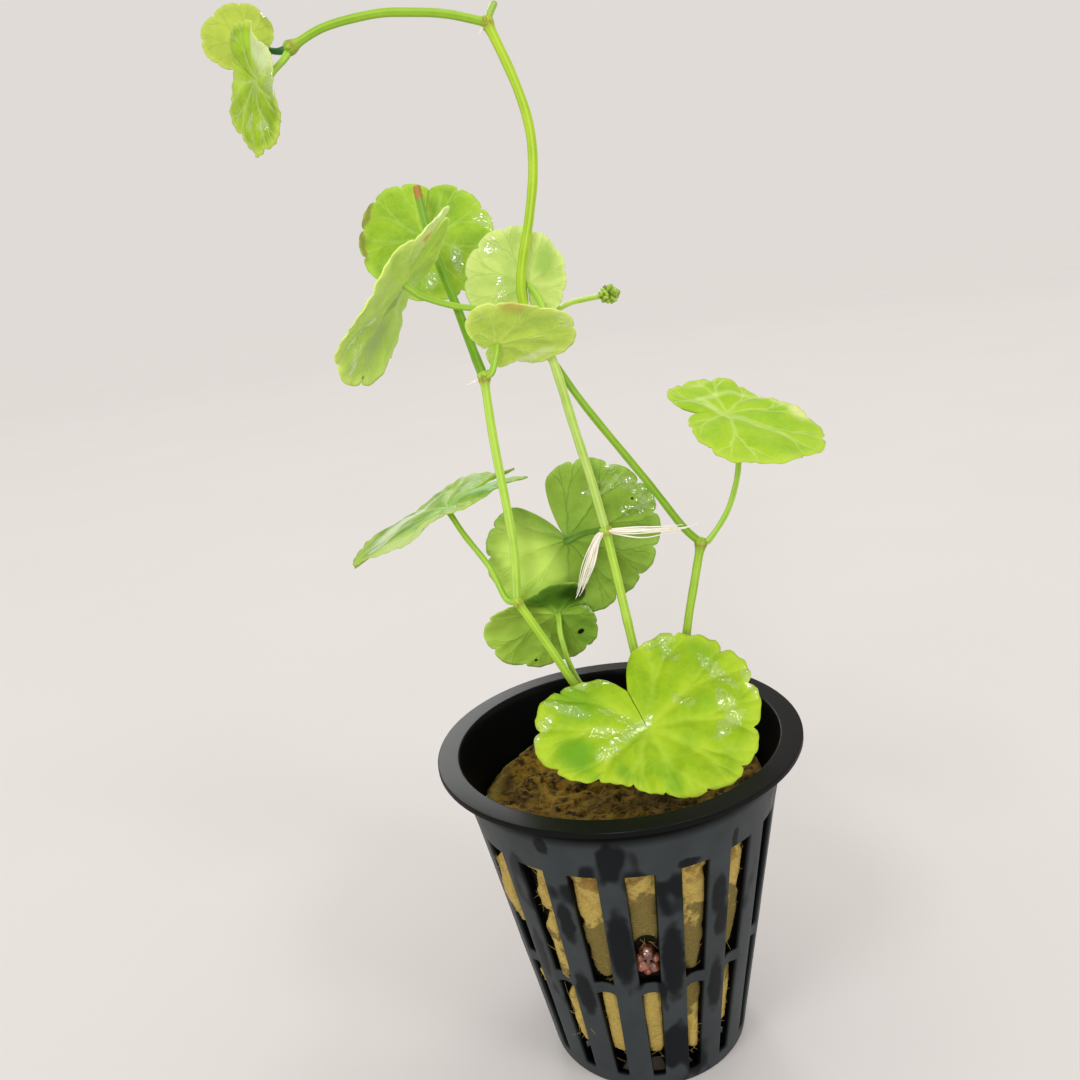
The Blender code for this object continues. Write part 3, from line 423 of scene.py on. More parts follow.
def add(tree, kind, *values, **named):
    """Adds a shader node. A word after its kind is its main setting, as in "Math MULTIPLY".

    The values go to its inputs in order, and each name is an input's or another setting's. An input
    takes a value, a socket or another node, which gives its first output.
    """
    kind, _, choice = kind.partition(" ")
    node = tree.nodes.new("ShaderNode" + kind)
    if choice:
        setattr(node, MAIN_SETTING[kind], choice)
    known = {socket.name.lower() for socket in node.inputs}
    for name, value in named.items():
        if name.replace("_", " ") not in known:
            setattr(node, name, value)
    open_inputs = [socket for socket in node.inputs if socket.enabled]
    filled = list(zip(open_inputs, values))
    filled += [(socket, named[name]) for socket in open_inputs for name in named
               if name.replace("_", " ") == socket.name.lower()]
    for socket, value in filled:
        if isinstance(value, bpy.types.Node):
            value = next(found for found in value.outputs if found.enabled)
        if isinstance(value, bpy.types.NodeSocket):
            tree.links.new(value, socket)
        else:
            socket.default_value = value
    return node


def new_material(name, on_blade=False):
    """An empty material, its tree, and where each point lies in the piece or on the blade laid flat."""
    made = bpy.data.materials.new(name)
    made.use_nodes = True
    tree = made.node_tree
    tree.nodes.clear()
    if on_blade:
        return made, tree, add(tree, "Attribute flat").outputs["Vector"]
    return made, tree, add(tree, "TexCoord").outputs["Object"]


def close_material(made, **inputs):
    """Ends the material in its shader."""
    shader = add(made.node_tree, "BsdfPrincipled", **inputs)
    add(made.node_tree, "OutputMaterial", surface=shader)
    return made


def new_layers(bm, *names):
    """Number layers on the corners, which the materials read."""
    return [bm.verts.layers.float.get(name) or bm.verts.layers.float.new(name) for name in names]


def smooth_step(value):
    value = min(max(value, 0.0), 1.0)
    return value * value * (3 - 2 * value)


def place_mesh(bm, name, finish):
    """Ends a mesh and puts it into the scene."""
    mesh = bpy.data.meshes.new(name)
    bm.to_mesh(mesh)
    bm.free()
    mesh.materials.append(finish)
    return place_object(name, mesh)


def place_object(name, data):
    made = bpy.data.objects.new(name, data)
    bpy.context.scene.collection.objects.link(made)
    return made


def show(bm, name, finish, nodes, sharp_deg=180.0):
    """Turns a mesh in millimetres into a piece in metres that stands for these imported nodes."""
    bmesh.ops.remove_doubles(bm, verts=bm.verts, dist=WELD)
    bmesh.ops.recalc_face_normals(bm, faces=bm.faces)
    bmesh.ops.scale(bm, vec=(MM, MM, MM), verts=bm.verts)
    piece = place_mesh(bm, name, finish)
    piece.data.shade_smooth()
    if sharp_deg < 180.0:
        piece.data.set_sharp_from_angle(angle=radians(sharp_deg))
    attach(piece, "root")
    if nodes:
        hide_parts(*nodes)
    return piece


def outer_radius(height):
    """Outside of the pot's cone at the ribs, and of the plain band over them."""
    if height < SHOULDER_HEIGHT:
        return BASE_RADIUS + (SHOULDER_RADIUS - BASE_RADIUS) * height / SHOULDER_HEIGHT
    band = (height - SHOULDER_HEIGHT) / (POT_HEIGHT - SHOULDER_HEIGHT)
    return SHOULDER_RADIUS + (BAND_TOP_RADIUS - SHOULDER_RADIUS) * band


def inner_radius(height):
    return outer_radius(height) - WALL


def spin_profile(bm, profile, steps):
    """Spins a line of radii and heights once round the pot's axis, and joins its seam and poles."""
    corners = [bm.verts.new((radius, 0, height)) for radius, height in profile]
    edges = [bm.edges.new(pair) for pair in zip(corners, corners[1:])]
    bmesh.ops.spin(
        bm, geom=corners + edges, cent=(0, 0, 0), axis=(0, 0, 1), angle=tau, steps=steps, use_merge=True)
    bmesh.ops.remove_doubles(bm, verts=bm.verts, dist=WELD)


def on_circle(radius, azimuth, height):
    """The point at this height and distance from the pot's axis; the azimuth is in radians."""
    return Vector((radius * cos(azimuth), radius * sin(azimuth), height))


def smooth_points(route, steps=14):
    """Points on a smooth curve that passes through every point of the route."""
    points = [Vector(point) for point in route]
    ends = [points[0] * 2 - points[1]] + points + [points[-1] * 2 - points[-2]]
    found = []
    for before, start, end, after in zip(ends, ends[1:], ends[2:], ends[3:]):
        for step in range(steps):
            t = step / steps
            found.append(0.5 * (
                2 * start + (end - before) * t + (2 * before - 5 * start + 4 * end - after) * t ** 2
                + (3 * start - before - 3 * end + after) * t ** 3))
    return found + [points[-1]]


def random_way(dice, low=-1.0, high=1.0):
    """Two sideways numbers from -1 to 1 and a height from low to high."""
    return Vector((dice.uniform(-1, 1), dice.uniform(-1, 1), dice.uniform(low, high)))


def facing_way(azimuth, elevation):
    """The direction to an azimuth, from -Y towards +X, and an elevation in degrees."""
    around, up = radians(azimuth), radians(elevation)
    return Vector((cos(up) * sin(around), -cos(up) * cos(around), sin(up)))


def route_length(points):
    return sum((b - a).length for a, b in zip(points, points[1:]))


def point_at(points, distance):
    """The point this far along a polyline, which runs on straight past its end."""
    for start, end in zip(points, points[1:]):
        length = (end - start).length
        if distance <= length or end is points[-1]:
            return start + (end - start) * (distance / length)
        distance -= length


def neighbours(corner):
    return [edge.other_vert(corner) for edge in corner.link_edges]


def draw_tube(bm, places, radii, sides, ridges=0, along_from=0.0):
    """Extrudes a ring from place to place, turning it as little as possible, and closes both ends."""
    along, rib = new_layers(bm, "along", "rib")
    ways = [(after - before).normalized() for before, after in zip(places, places[1:])]
    ways = [ways[0]] + [(a + b).normalized() for a, b in zip(ways, ways[1:])] + [ways[-1]]
    side = ways[0].orthogonal().normalized()
    ring = bmesh.ops.create_circle(bm, cap_ends=True, segments=sides, radius=1.0)["verts"]
    edges = list({edge for corner in ring for edge in corner.link_edges})
    distance = along_from
    for step, (place, way, radius) in enumerate(zip(places, ways, radii)):
        if step:
            distance += (place - places[step - 1]).length
            fresh = set(bmesh.ops.extrude_edge_only(bm, edges=edges)["geom"])
            ring = [next(other for other in neighbours(corner) if other in fresh) for corner in ring]
            own = set(ring)
            edges = list({
                edge for corner in ring for edge in corner.link_edges if edge.other_vert(corner) in own})
        side = (side - way * side.dot(way)).normalized()
        across = way.cross(side)
        for number, corner in enumerate(ring):
            angle = tau * number / sides
            wave = cos(ridges * angle) if ridges else 0.0
            reach = radius * (1 + RIDGE_DEPTH * wave)
            corner.co = place + (side * cos(angle) + across * sin(angle)) * reach
            corner[along] = distance
            corner[rib] = wave
    bmesh.ops.contextual_create(bm, geom=edges)


def draw_stalk(bm, points, radius_at, start, end, sides, ridges):
    """A stalk with round ends. radius_at gives its radius at each distance along the curve."""
    size = min(radius_at(start), radius_at(end)) * 0.9
    ends = [(size * (1 - cos(angle)), sin(angle)) for angle in END_ANGLES]
    straight = end - start - 2 * size
    count = max(2, round(straight / STALK_STEP))
    stations = ends + [(size + straight * part / count, 1.0) for part in range(count + 1)]
    stations += [(end - start - distance, share) for distance, share in reversed(ends)]
    places = [point_at(points, start + distance) for distance, _ in stations]
    radii = [radius_at(start + distance) * share for distance, share in stations]
    draw_tube(bm, places, radii, sides, ridges, start)


def patch(tree, place, middle, size, turn=0.0, soft=0.35):
    """A factor that is 1 inside an oval patch of these half sizes and fades to 0 round it."""
    local = add(tree, "Mapping", place, middle, (0, 0, radians(turn)), size, vector_type="TEXTURE")
    away = add(tree, "VectorMath LENGTH", local).outputs["Value"]
    return add(tree, "MapRange SMOOTHSTEP", away, 1 - soft, 1 + soft, 1, 0)


def cloudy(tree, place, lump, detail, low, high, start=0, end=1, soft=False, rough=0.5):
    """A factor from start to end that follows noise with lumps of this size, between low and high."""
    lumps = add(tree, "TexNoise", place, 1 / lump, detail, rough)
    return add(tree, "MapRange " + ("SMOOTHSTEP" if soft else "LINEAR"), lumps, low, high, start, end)


def lay_over(tree, colour, *layers):
    """Lays each layer's colour over what is under it, by its factor."""
    for factor, over in layers:
        colour = add(tree, "Mix RGBA", factor, colour, over)
    return colour


def pot_material(settings):
    """Injection-moulded polypropylene: dull black, with a painted grey sheen outside and dark wet patches."""
    made, tree, place = new_material("moulded_polypropylene")
    outside = add(tree, "MapRange", add(tree, "Attribute outside").outputs["Fac"], 0.55, 0.95)
    wobble = add(tree, "TexNoise", place, 1 / (1.6 * MM), 2).outputs["Color"]
    wobble = add(tree, "VectorMath SUBTRACT", wobble, (0.5, 0.5, 0.5))
    warped = add(tree, "VectorMath ADD", place, add(tree, "VectorMath SCALE", wobble, 1.1 * MM))
    wet = cloudy(tree, add(tree, "Mapping", place, scale=(1, 1, 0.5)), 6 * MM, 2, 0.58, 0.68, soft=True)
    for azimuth, height, half_width, half_height in WET_PATCHES:
        middle = on_circle(outer_radius(height), radians(azimuth), height) * MM
        oval = patch(tree, warped, middle, (half_width * MM, half_width * MM, half_height * MM), soft=0.3)
        wet = add(tree, "Math MAXIMUM", wet, oval)
    # Painted sheen: grey over the dry outside faces, in soft clouds, lighter than the shaded inside and slot
    # walls.
    uneven_sheen = cloudy(tree, place, 5 * MM, 3, 0.3, 0.7, 0.75, 1)
    painted_sheen = add(tree, "Math MULTIPLY", add(tree, "Math SUBTRACT", 1, wet), uneven_sheen)
    painted_sheen = add(tree, "Math MULTIPLY", painted_sheen, outside)
    damp = add(tree, "Math MULTIPLY", wet, outside)
    colour = lay_over(tree, settings.plastic, (painted_sheen, settings.painted_sheen), (damp, linear("#101316")))
    rough = add(tree, "MapRange", damp, 0, 1, 0.5, 0.3)
    grain = add(tree, "TexNoise", place, 1 / (0.35 * MM), 2)
    bump = add(tree, "Bump", height=grain, strength=0.3, distance=0.05 * MM)
    height = add(tree, "SeparateXYZ", place).outputs["Z"]
    on_rim = add(tree, "MapRange", height, 50.7 * MM, 51.3 * MM, 0, 0.16)
    skin = add(tree, "Math MULTIPLY", add(tree, "MapRange", wet, 0, 1, 0.2, 0.12), outside)
    skin = add(tree, "Math MAXIMUM", skin, on_rim)
    return close_material(
        made, base_color=colour, roughness=rough, normal=bump, specular_ior_level=0.04, coat_weight=skin,
        coat_roughness=0.25)


def wool_material(settings):
    """Spun rock wool: matt, short crossed fibres, straw yellow where dry and olive where soaked."""
    made, tree, place = new_material("spun_rock_wool")
    top, soaked, deep = (add(tree, "Attribute " + name).outputs["Fac"] for name in ("top", "soaked", "deep"))
    border = add(tree, "TexNoise", place, 1 / (3 * MM), 4, 0.6)
    wet = add(tree, "MapRange SMOOTHSTEP", add(tree, "Math MULTIPLY_ADD", border, 2.4, soaked), 1.62, 1.86)
    stain = add(tree, "MapRange", add(tree, "SeparateXYZ", place).outputs["Z"], 34 * MM, 41 * MM)
    stain = add(tree, "Math MULTIPLY", stain, cloudy(tree, place, 2.2 * MM, 3, 0.45, 0.62, soft=True))
    stain = add(tree, "Math MULTIPLY", stain, 0.75)
    side = lay_over(tree, settings.wool_dry, (wet, settings.wool_wet), (stain, linear("#7A4F1E")))
    lit = cloudy(tree, place, 7 * MM, 2, 0.35, 0.6)
    pit = cloudy(tree, place, 1.4 * MM, 5, 0.36, 0.56, soft=True, rough=0.65)
    crown = lay_over(tree, linear("#5C4420"), (lit, settings.wool_top))
    crown = lay_over(tree, linear("#33230E"), (pit, crown))
    # Painted shade: near black where the wool stands back in a slot (the deep layer).
    colour = lay_over(tree, side, (top, crown), (deep, linear("#1A1508")))
    along_fibres = add(tree, "Mapping", place, scale=(1, 1, 2.6), rotation=(0.4, 0.2, 0))
    fibre = add(tree, "TexNoise", along_fibres, 1 / (0.45 * MM), 6, 0.7)
    shade = add(tree, "MapRange", fibre, 0.3, 0.7, 0.6, 1.12)
    colour = add(tree, "Mix RGBA", 1, colour, shade, blend_type="MULTIPLY")
    bump = add(tree, "Bump", height=fibre, strength=0.8, distance=0.3 * MM)
    return close_material(made, base_color=colour, roughness=0.9, specular_ior_level=0.25, normal=bump)


def bead_material(settings):
    """Resin-coated feed beads: copper under a clear wet skin, with a sharp highlight on each."""
    made, tree, place = new_material("resin_coated_bead")
    tone = add(tree, "Attribute tone").outputs["Fac"]
    cloud = cloudy(tree, place, 0.7 * MM, 3, 0.4, 0.6, soft=True)
    colour = lay_over(tree, linear("#2A150E"), (cloud, settings.bead), (tone, linear("#98543A")))
    bump = add(tree, "Bump", height=cloud, strength=0.5, distance=0.12 * MM)
    return close_material(
        made, base_color=colour, roughness=0.3, coat_weight=1, coat_roughness=0.05, normal=bump)


def stem_material(name, hex_colour, settings):
    """Living stem: half clear green under wax, finely ribbed, with dry brown scales at the nodes."""
    made, tree, place = new_material(name)
    colour = linear(hex_colour)
    dark = (colour[0] * 0.72, colour[1] * 0.8, colour[2] * 0.6, 1.0)
    pale = (min(1.0, colour[0] * 1.12), min(1.0, colour[1] * 1.05), min(1.0, colour[2] * 1.15), 1.0)
    rib, knob, dry = (add(tree, "Attribute " + word).outputs["Fac"] for word in ("rib", "knob", "dry"))
    stripe = add(tree, "MapRange SMOOTHSTEP", rib, -0.9, 0.6)
    cloud = add(tree, "TexNoise", place, 1 / (3 * MM), 3)
    tone = add(tree, "Math MULTIPLY", add(tree, "MapRange", cloud, 0.35, 0.65), 0.6)
    speck = cloudy(tree, place, 0.6 * MM, 2, 0.35, 0.6, 0.35, 1)
    scale = lay_over(tree, linear("#4A2E12"), (speck, settings.node))
    tint = lay_over(tree, dark, (stripe, colour), (tone, pale), (knob, scale), (dry, settings.withered))
    bump = add(tree, "Bump", height=cloud, strength=0.3, distance=0.08 * MM)
    return close_material(
        made, base_color=tint, roughness=0.45, normal=bump, subsurface_weight=0.12,
        subsurface_scale=0.25 * MM, subsurface_radius=(0.7, 1, 0.3), specular_ior_level=0.3, coat_weight=0.12,
        coat_roughness=0.2)


def root_material(settings):
    """Fresh roots: cream white, soft and slightly wet."""
    made, tree, place = new_material("fresh_root")
    tone = cloudy(tree, place, 1.5 * MM, 2, 0.35, 0.65)
    colour = lay_over(tree, linear("#F6EBDC"), (tone, settings.root))
    return close_material(made, base_color=colour, roughness=0.4, coat_weight=0.3, coat_roughness=0.15)


def bud_material():
    """Young flower bud: packed green scales, browner in random patches."""
    made, tree, place = new_material("packed_bud_scales")
    tone = cloudy(tree, place, 0.7 * MM, 3, 0.38, 0.6)
    colour = lay_over(tree, linear("#66801C"), (tone, linear("#A8C63C")))
    return close_material(made, base_color=colour, roughness=0.45, coat_weight=0.3, coat_roughness=0.2)


def veins_per_radian(leaf):
    return leaf["veins"] / (tau - 2 * radians(leaf["notch"]))


def leaf_material(name, leaf, settings):
    """Living leaf blade: soft, half clear and veined, with water on it that glitters where it lies thick."""
    made, tree, flat = new_material("leaf_blade_" + name, on_blade=True)
    main, deep, pale = (linear(tint) for tint in leaf["tints"])
    half_width, strength = leaf["vein"]
    reach = add(tree, "SeparateXYZ", flat).outputs["Z"]
    plane = add(tree, "VectorMath MULTIPLY", flat, (1, 1, 0))
    wander = add(tree, "TexNoise", plane, 1 / 2.4, 2).outputs["Color"]
    wander = add(tree, "VectorMath SUBTRACT", wander, (0.5, 0.5, 0.5))
    warped = add(tree, "VectorMath ADD", plane, add(tree, "VectorMath MULTIPLY", wander, (1.3, 1.3, 0)))
    split = add(tree, "SeparateXYZ", warped)
    angle = add(tree, "Math ARCTAN2", split.outputs["Y"], split.outputs["X"])
    turns = veins_per_radian(leaf)
    part = add(tree, "Math FRACT", add(tree, "Math MULTIPLY_ADD", angle, turns, leaf["veins"] / 2))
    part = add(tree, "Math ABSOLUTE", add(tree, "Math SUBTRACT", part, 0.5))
    for fork_from, fork_to, fork_size in VEIN_FORKS:
        fork = add(tree, "MapRange SMOOTHSTEP", reach, fork_from, fork_to, 0, fork_size)
        part = add(tree, "Math ABSOLUTE", add(tree, "Math SUBTRACT", part, fork))
    apart = add(tree, "Math MULTIPLY", part, add(tree, "VectorMath LENGTH", warped).outputs["Value"])
    apart = add(tree, "Math MULTIPLY", apart, 1 / turns)
    width = add(tree, "MapRange", reach, 0, 1, half_width, half_width * 0.35)
    vein = add(tree, "MapRange SMOOTHSTEP", apart, 0, width, 1, 0)
    lines = add(tree, "Math MULTIPLY", vein, strength)
    net = add(tree, "TexVoronoi", warped, 1 / 1.3, feature="DISTANCE_TO_EDGE").outputs["Distance"]
    net = add(tree, "MapRange", net, 0, 0.1, 0.16, 0)
    mottle = cloudy(tree, plane, 5, 2.5, 0.36, 0.68, soft=True)
    between = add(tree, "MapRange SMOOTHSTEP", apart, 0.3, 2.4, 0, leaf.get("contrast", 0.45))
    # Painted highlight: the blade is painted paler towards its margin.
    rim = add(tree, "MapRange", reach, 0.86, 1, 0, 0.7)
    lower = add(tree, "Math SUBTRACT", 1, add(tree, "Attribute upper").outputs["Fac"])
    lower = add(tree, "Math MULTIPLY", lower, 0.25)
    tint = lay_over(
        tree, main, (mottle, deep), (between, deep), (net, pale), (lines, linear(leaf["vein_tint"])),
        (rim, pale), (lower, pale))
    for x, y, half_along, half_across, turn, hex_colour, share, soft in leaf["spots"]:
        place = warped if half_along > 1.0 else plane
        oval = patch(tree, place, (x, y, 0), (half_along, half_across, 1), turn, soft)
        tint = lay_over(tree, tint, (add(tree, "Math MULTIPLY", oval, share), linear(hex_colour)))
    ripple = add(tree, "TexNoise", plane, 1 / 1.4, 3, distortion=0.5)
    height = add(tree, "Math MULTIPLY_ADD", vein, -0.5, ripple)
    bump = add(tree, "Bump", height=height, strength=0.5, distance=0.22 * MM)
    wet = 0.0
    for x, y, half_along, half_across, turn in leaf.get("wet", []):
        size = (half_along * FILM_SPREAD, half_across * FILM_SPREAD, 1)
        wet = add(tree, "Math MAXIMUM", wet, patch(tree, warped, (x, y, 0), size, turn, 0.2))
    wet = add(tree, "Math MULTIPLY", wet, settings.wetness)
    swell = add(tree, "TexNoise", plane, 1 / 2.2, 1, distortion=0.8)
    swell_bump = add(tree, "Bump", height=swell, strength=1, distance=1.5 * MM)
    return close_material(
        made, base_color=tint, roughness=0.48, normal=bump, ior=1.42, specular_ior_level=0.2,
        subsurface_weight=0.15, subsurface_scale=0.5 * MM, subsurface_radius=(0.7, 1, 0.3), coat_weight=wet,
        coat_roughness=0.08, coat_ior=2.2, coat_normal=swell_bump)


def stage_material(colour):
    """Matt emulsion paint: pale, with a painted falloff of light away from the middle, and the object's
    shadow on it.
    """
    made, tree, place = new_material("matt_emulsion_paint")
    cloud = cloudy(tree, place, 90 * MM, 2, 0.3, 0.7, 0.985, 1)
    away = add(tree, "VectorMath LENGTH", place).outputs["Value"]
    # Painted falloff of light: the floor is painted darker the further it lies from the middle.
    tone = add(tree, "Math MULTIPLY", cloud, add(tree, "MapRange", away, 0.15, 1.6, 1, 0.925))
    tint = add(tree, "Mix RGBA", 1, tuple(colour), tone, blend_type="MULTIPLY")
    return close_material(made, base_color=tint, roughness=0.95, specular_ior_level=0)


class PENNYWORT_OT_net_pot(bpy.types.Operator):
    """Spin the pot's wall and floor, cut its slots and lay the hoop across them"""

    bl_idname = "pennywort.net_pot"
    bl_label = "Net pot"

    def execute(self, context):
        settings = context.scene.pennywort_pot
        rib_width = settings.rib_width / MM
        columns = SLOT_COLUMNS + RIB_COLUMNS
        under_rim = POT_HEIGHT - RIM_THICKNESS
        side_heights = (36.0, 30.0, 25.0, HOOP_TOP, HOOP_FOOT, 14.0, 8.0)
        floor_radii = (FLOOR_OPEN_TO, 12.0, FLOOR_OPEN_FROM)
        profile = [(radius, FLOOR_THICKNESS) for radius in (6.0, *reversed(floor_radii))]
        profile += [(inner_radius(height), height) for height in
                    (FLOOR_THICKNESS, SLOT_FOOT, *reversed(side_heights), SHOULDER_HEIGHT, 47.0)]
        profile += [(MOUTH_RADIUS - 0.3, under_rim), (MOUTH_RADIUS, POT_HEIGHT), (RIM_RADIUS, POT_HEIGHT),
                    (RIM_RADIUS, under_rim), (outer_radius(under_rim), under_rim)]
        profile += [(outer_radius(height), height) for height in
                    (47.0, SHOULDER_HEIGHT, *side_heights, SLOT_FOOT, 0.0)]
        profile += [(radius, 0.0) for radius in (*floor_radii, 6.0)]
        bm = bmesh.new()
        outside, = new_layers(bm, "outside")
        spin_profile(bm, profile, RIB_COUNT * columns)
        place_in_sector = {}
        for corner in bm.verts:
            radius = sqrt(corner.co.x ** 2 + corner.co.y ** 2)
            turn = (atan2(corner.co.y, corner.co.x) % tau) / tau * RIB_COUNT
            sector, column = divmod(round(turn * columns), columns)
            height = corner.co.z
            corner[outside] = float(radius > outer_radius(height) - 0.01 and height < under_rim - 0.1)
            on_floor = radius < FLOOR_OPEN_TO + 0.1
            solid = SPOKE_WIDTH if on_floor else rib_width
            at = max(radius, FLOOR_OPEN_FROM) if on_floor else outer_radius(min(height, SHOULDER_HEIGHT))
            half_slot = (tau * at / RIB_COUNT - solid) / 2 / at
            if column <= SLOT_COLUMNS:
                angle = half_slot * (2 * column / SLOT_COLUMNS - 1)
            else:
                angle = half_slot + (tau / RIB_COUNT - 2 * half_slot) * (column - SLOT_COLUMNS) / RIB_COLUMNS
            angle += tau * sector / RIB_COUNT + radians(FIRST_SLOT_DEG)
            corner.co = on_circle(radius, angle, height)
            place_in_sector[corner] = column
        open_faces = []
        for face in bm.faces:
            middle = face.calc_center_median()
            radius = Vector(middle.xy).length
            in_slot = all(place_in_sector[corner] <= SLOT_COLUMNS for corner in face.verts)
            in_wall = SLOT_FOOT < middle.z < SHOULDER_HEIGHT and not HOOP_FOOT < middle.z < HOOP_TOP
            in_floor = middle.z < FLOOR_THICKNESS + 0.1 and FLOOR_OPEN_FROM < radius < FLOOR_OPEN_TO
            if in_slot and (in_wall or in_floor):
                open_faces.append(face)
        bmesh.ops.delete(bm, geom=open_faces, context="FACES")
        self.join_openings(bm)
        self.set_back_hoop(bm, place_in_sector)
        ends = [edge for edge in bm.edges if edge.is_boundary]
        bmesh.ops.contextual_create(bm, geom=[edge for edge in ends if edge.verts[0].co.z > 0.5])
        bmesh.ops.contextual_create(bm, geom=[edge for edge in ends if edge.verts[0].co.z < 0.5])
        bmesh.ops.recalc_face_normals(bm, faces=bm.faces)
        sharp = [edge for edge in bm.edges if edge.is_manifold and edge.calc_face_angle() > radians(40)]
        bmesh.ops.bevel(
            bm, geom=sharp, offset=settings.edge_round / MM, affect="EDGES", segments=2, profile=0.5,
            material=-1, clamp_overlap=True)
        pot = show(bm, "moulded_net_pot", pot_material(settings), ["net_pot"], 35.0)
        flat = pot.modifiers.new("flat_faces", "WEIGHTED_NORMAL")
        flat.weight = 100
        flat.keep_sharp = True
        return {"FINISHED"}

    @staticmethod
    def join_openings(bm):
        """Walls the thickness of the moulding round each slot and each opening in the floor."""
        loose = {edge for edge in bm.edges if edge.is_boundary}
        ends = {edge for edge in loose if all(Vector(corner.co.xy).length < 7.0 for corner in edge.verts)}
        loose -= ends
        loops = []
        while loose:
            loop = [loose.pop()]
            reached = set(loop[0].verts)
            grown = True
            while grown:
                grown = [edge for edge in loose if edge.verts[0] in reached or edge.verts[1] in reached]
                for edge in grown:
                    loose.discard(edge)
                    loop.append(edge)
                    reached.update(edge.verts)
            loops.append((loop, sum((corner.co for corner in reached), Vector()) / len(reached)))
        while loops:
            loop, middle = loops.pop()
            other = min(range(len(loops)), key=lambda number: (loops[number][1] - middle).length)
            partner = loops.pop(other)[0]
            bmesh.ops.bridge_loops(bm, edges=loop + partner)

    @staticmethod
    def set_back_hoop(bm, place_in_sector):
        """The hoop crosses the slots a little behind the face of the ribs."""
        for corner in bm.verts:
            column = place_in_sector.get(corner, 0)
            radius = Vector(corner.co.xy).length
            on_hoop = HOOP_FOOT - 0.1 < corner.co.z < HOOP_TOP + 0.1 and 0 < column < SLOT_COLUMNS
            if on_hoop and radius > outer_radius(corner.co.z) - 0.1:
                corner.co.xy *= (radius - HOOP_RECESS) / radius


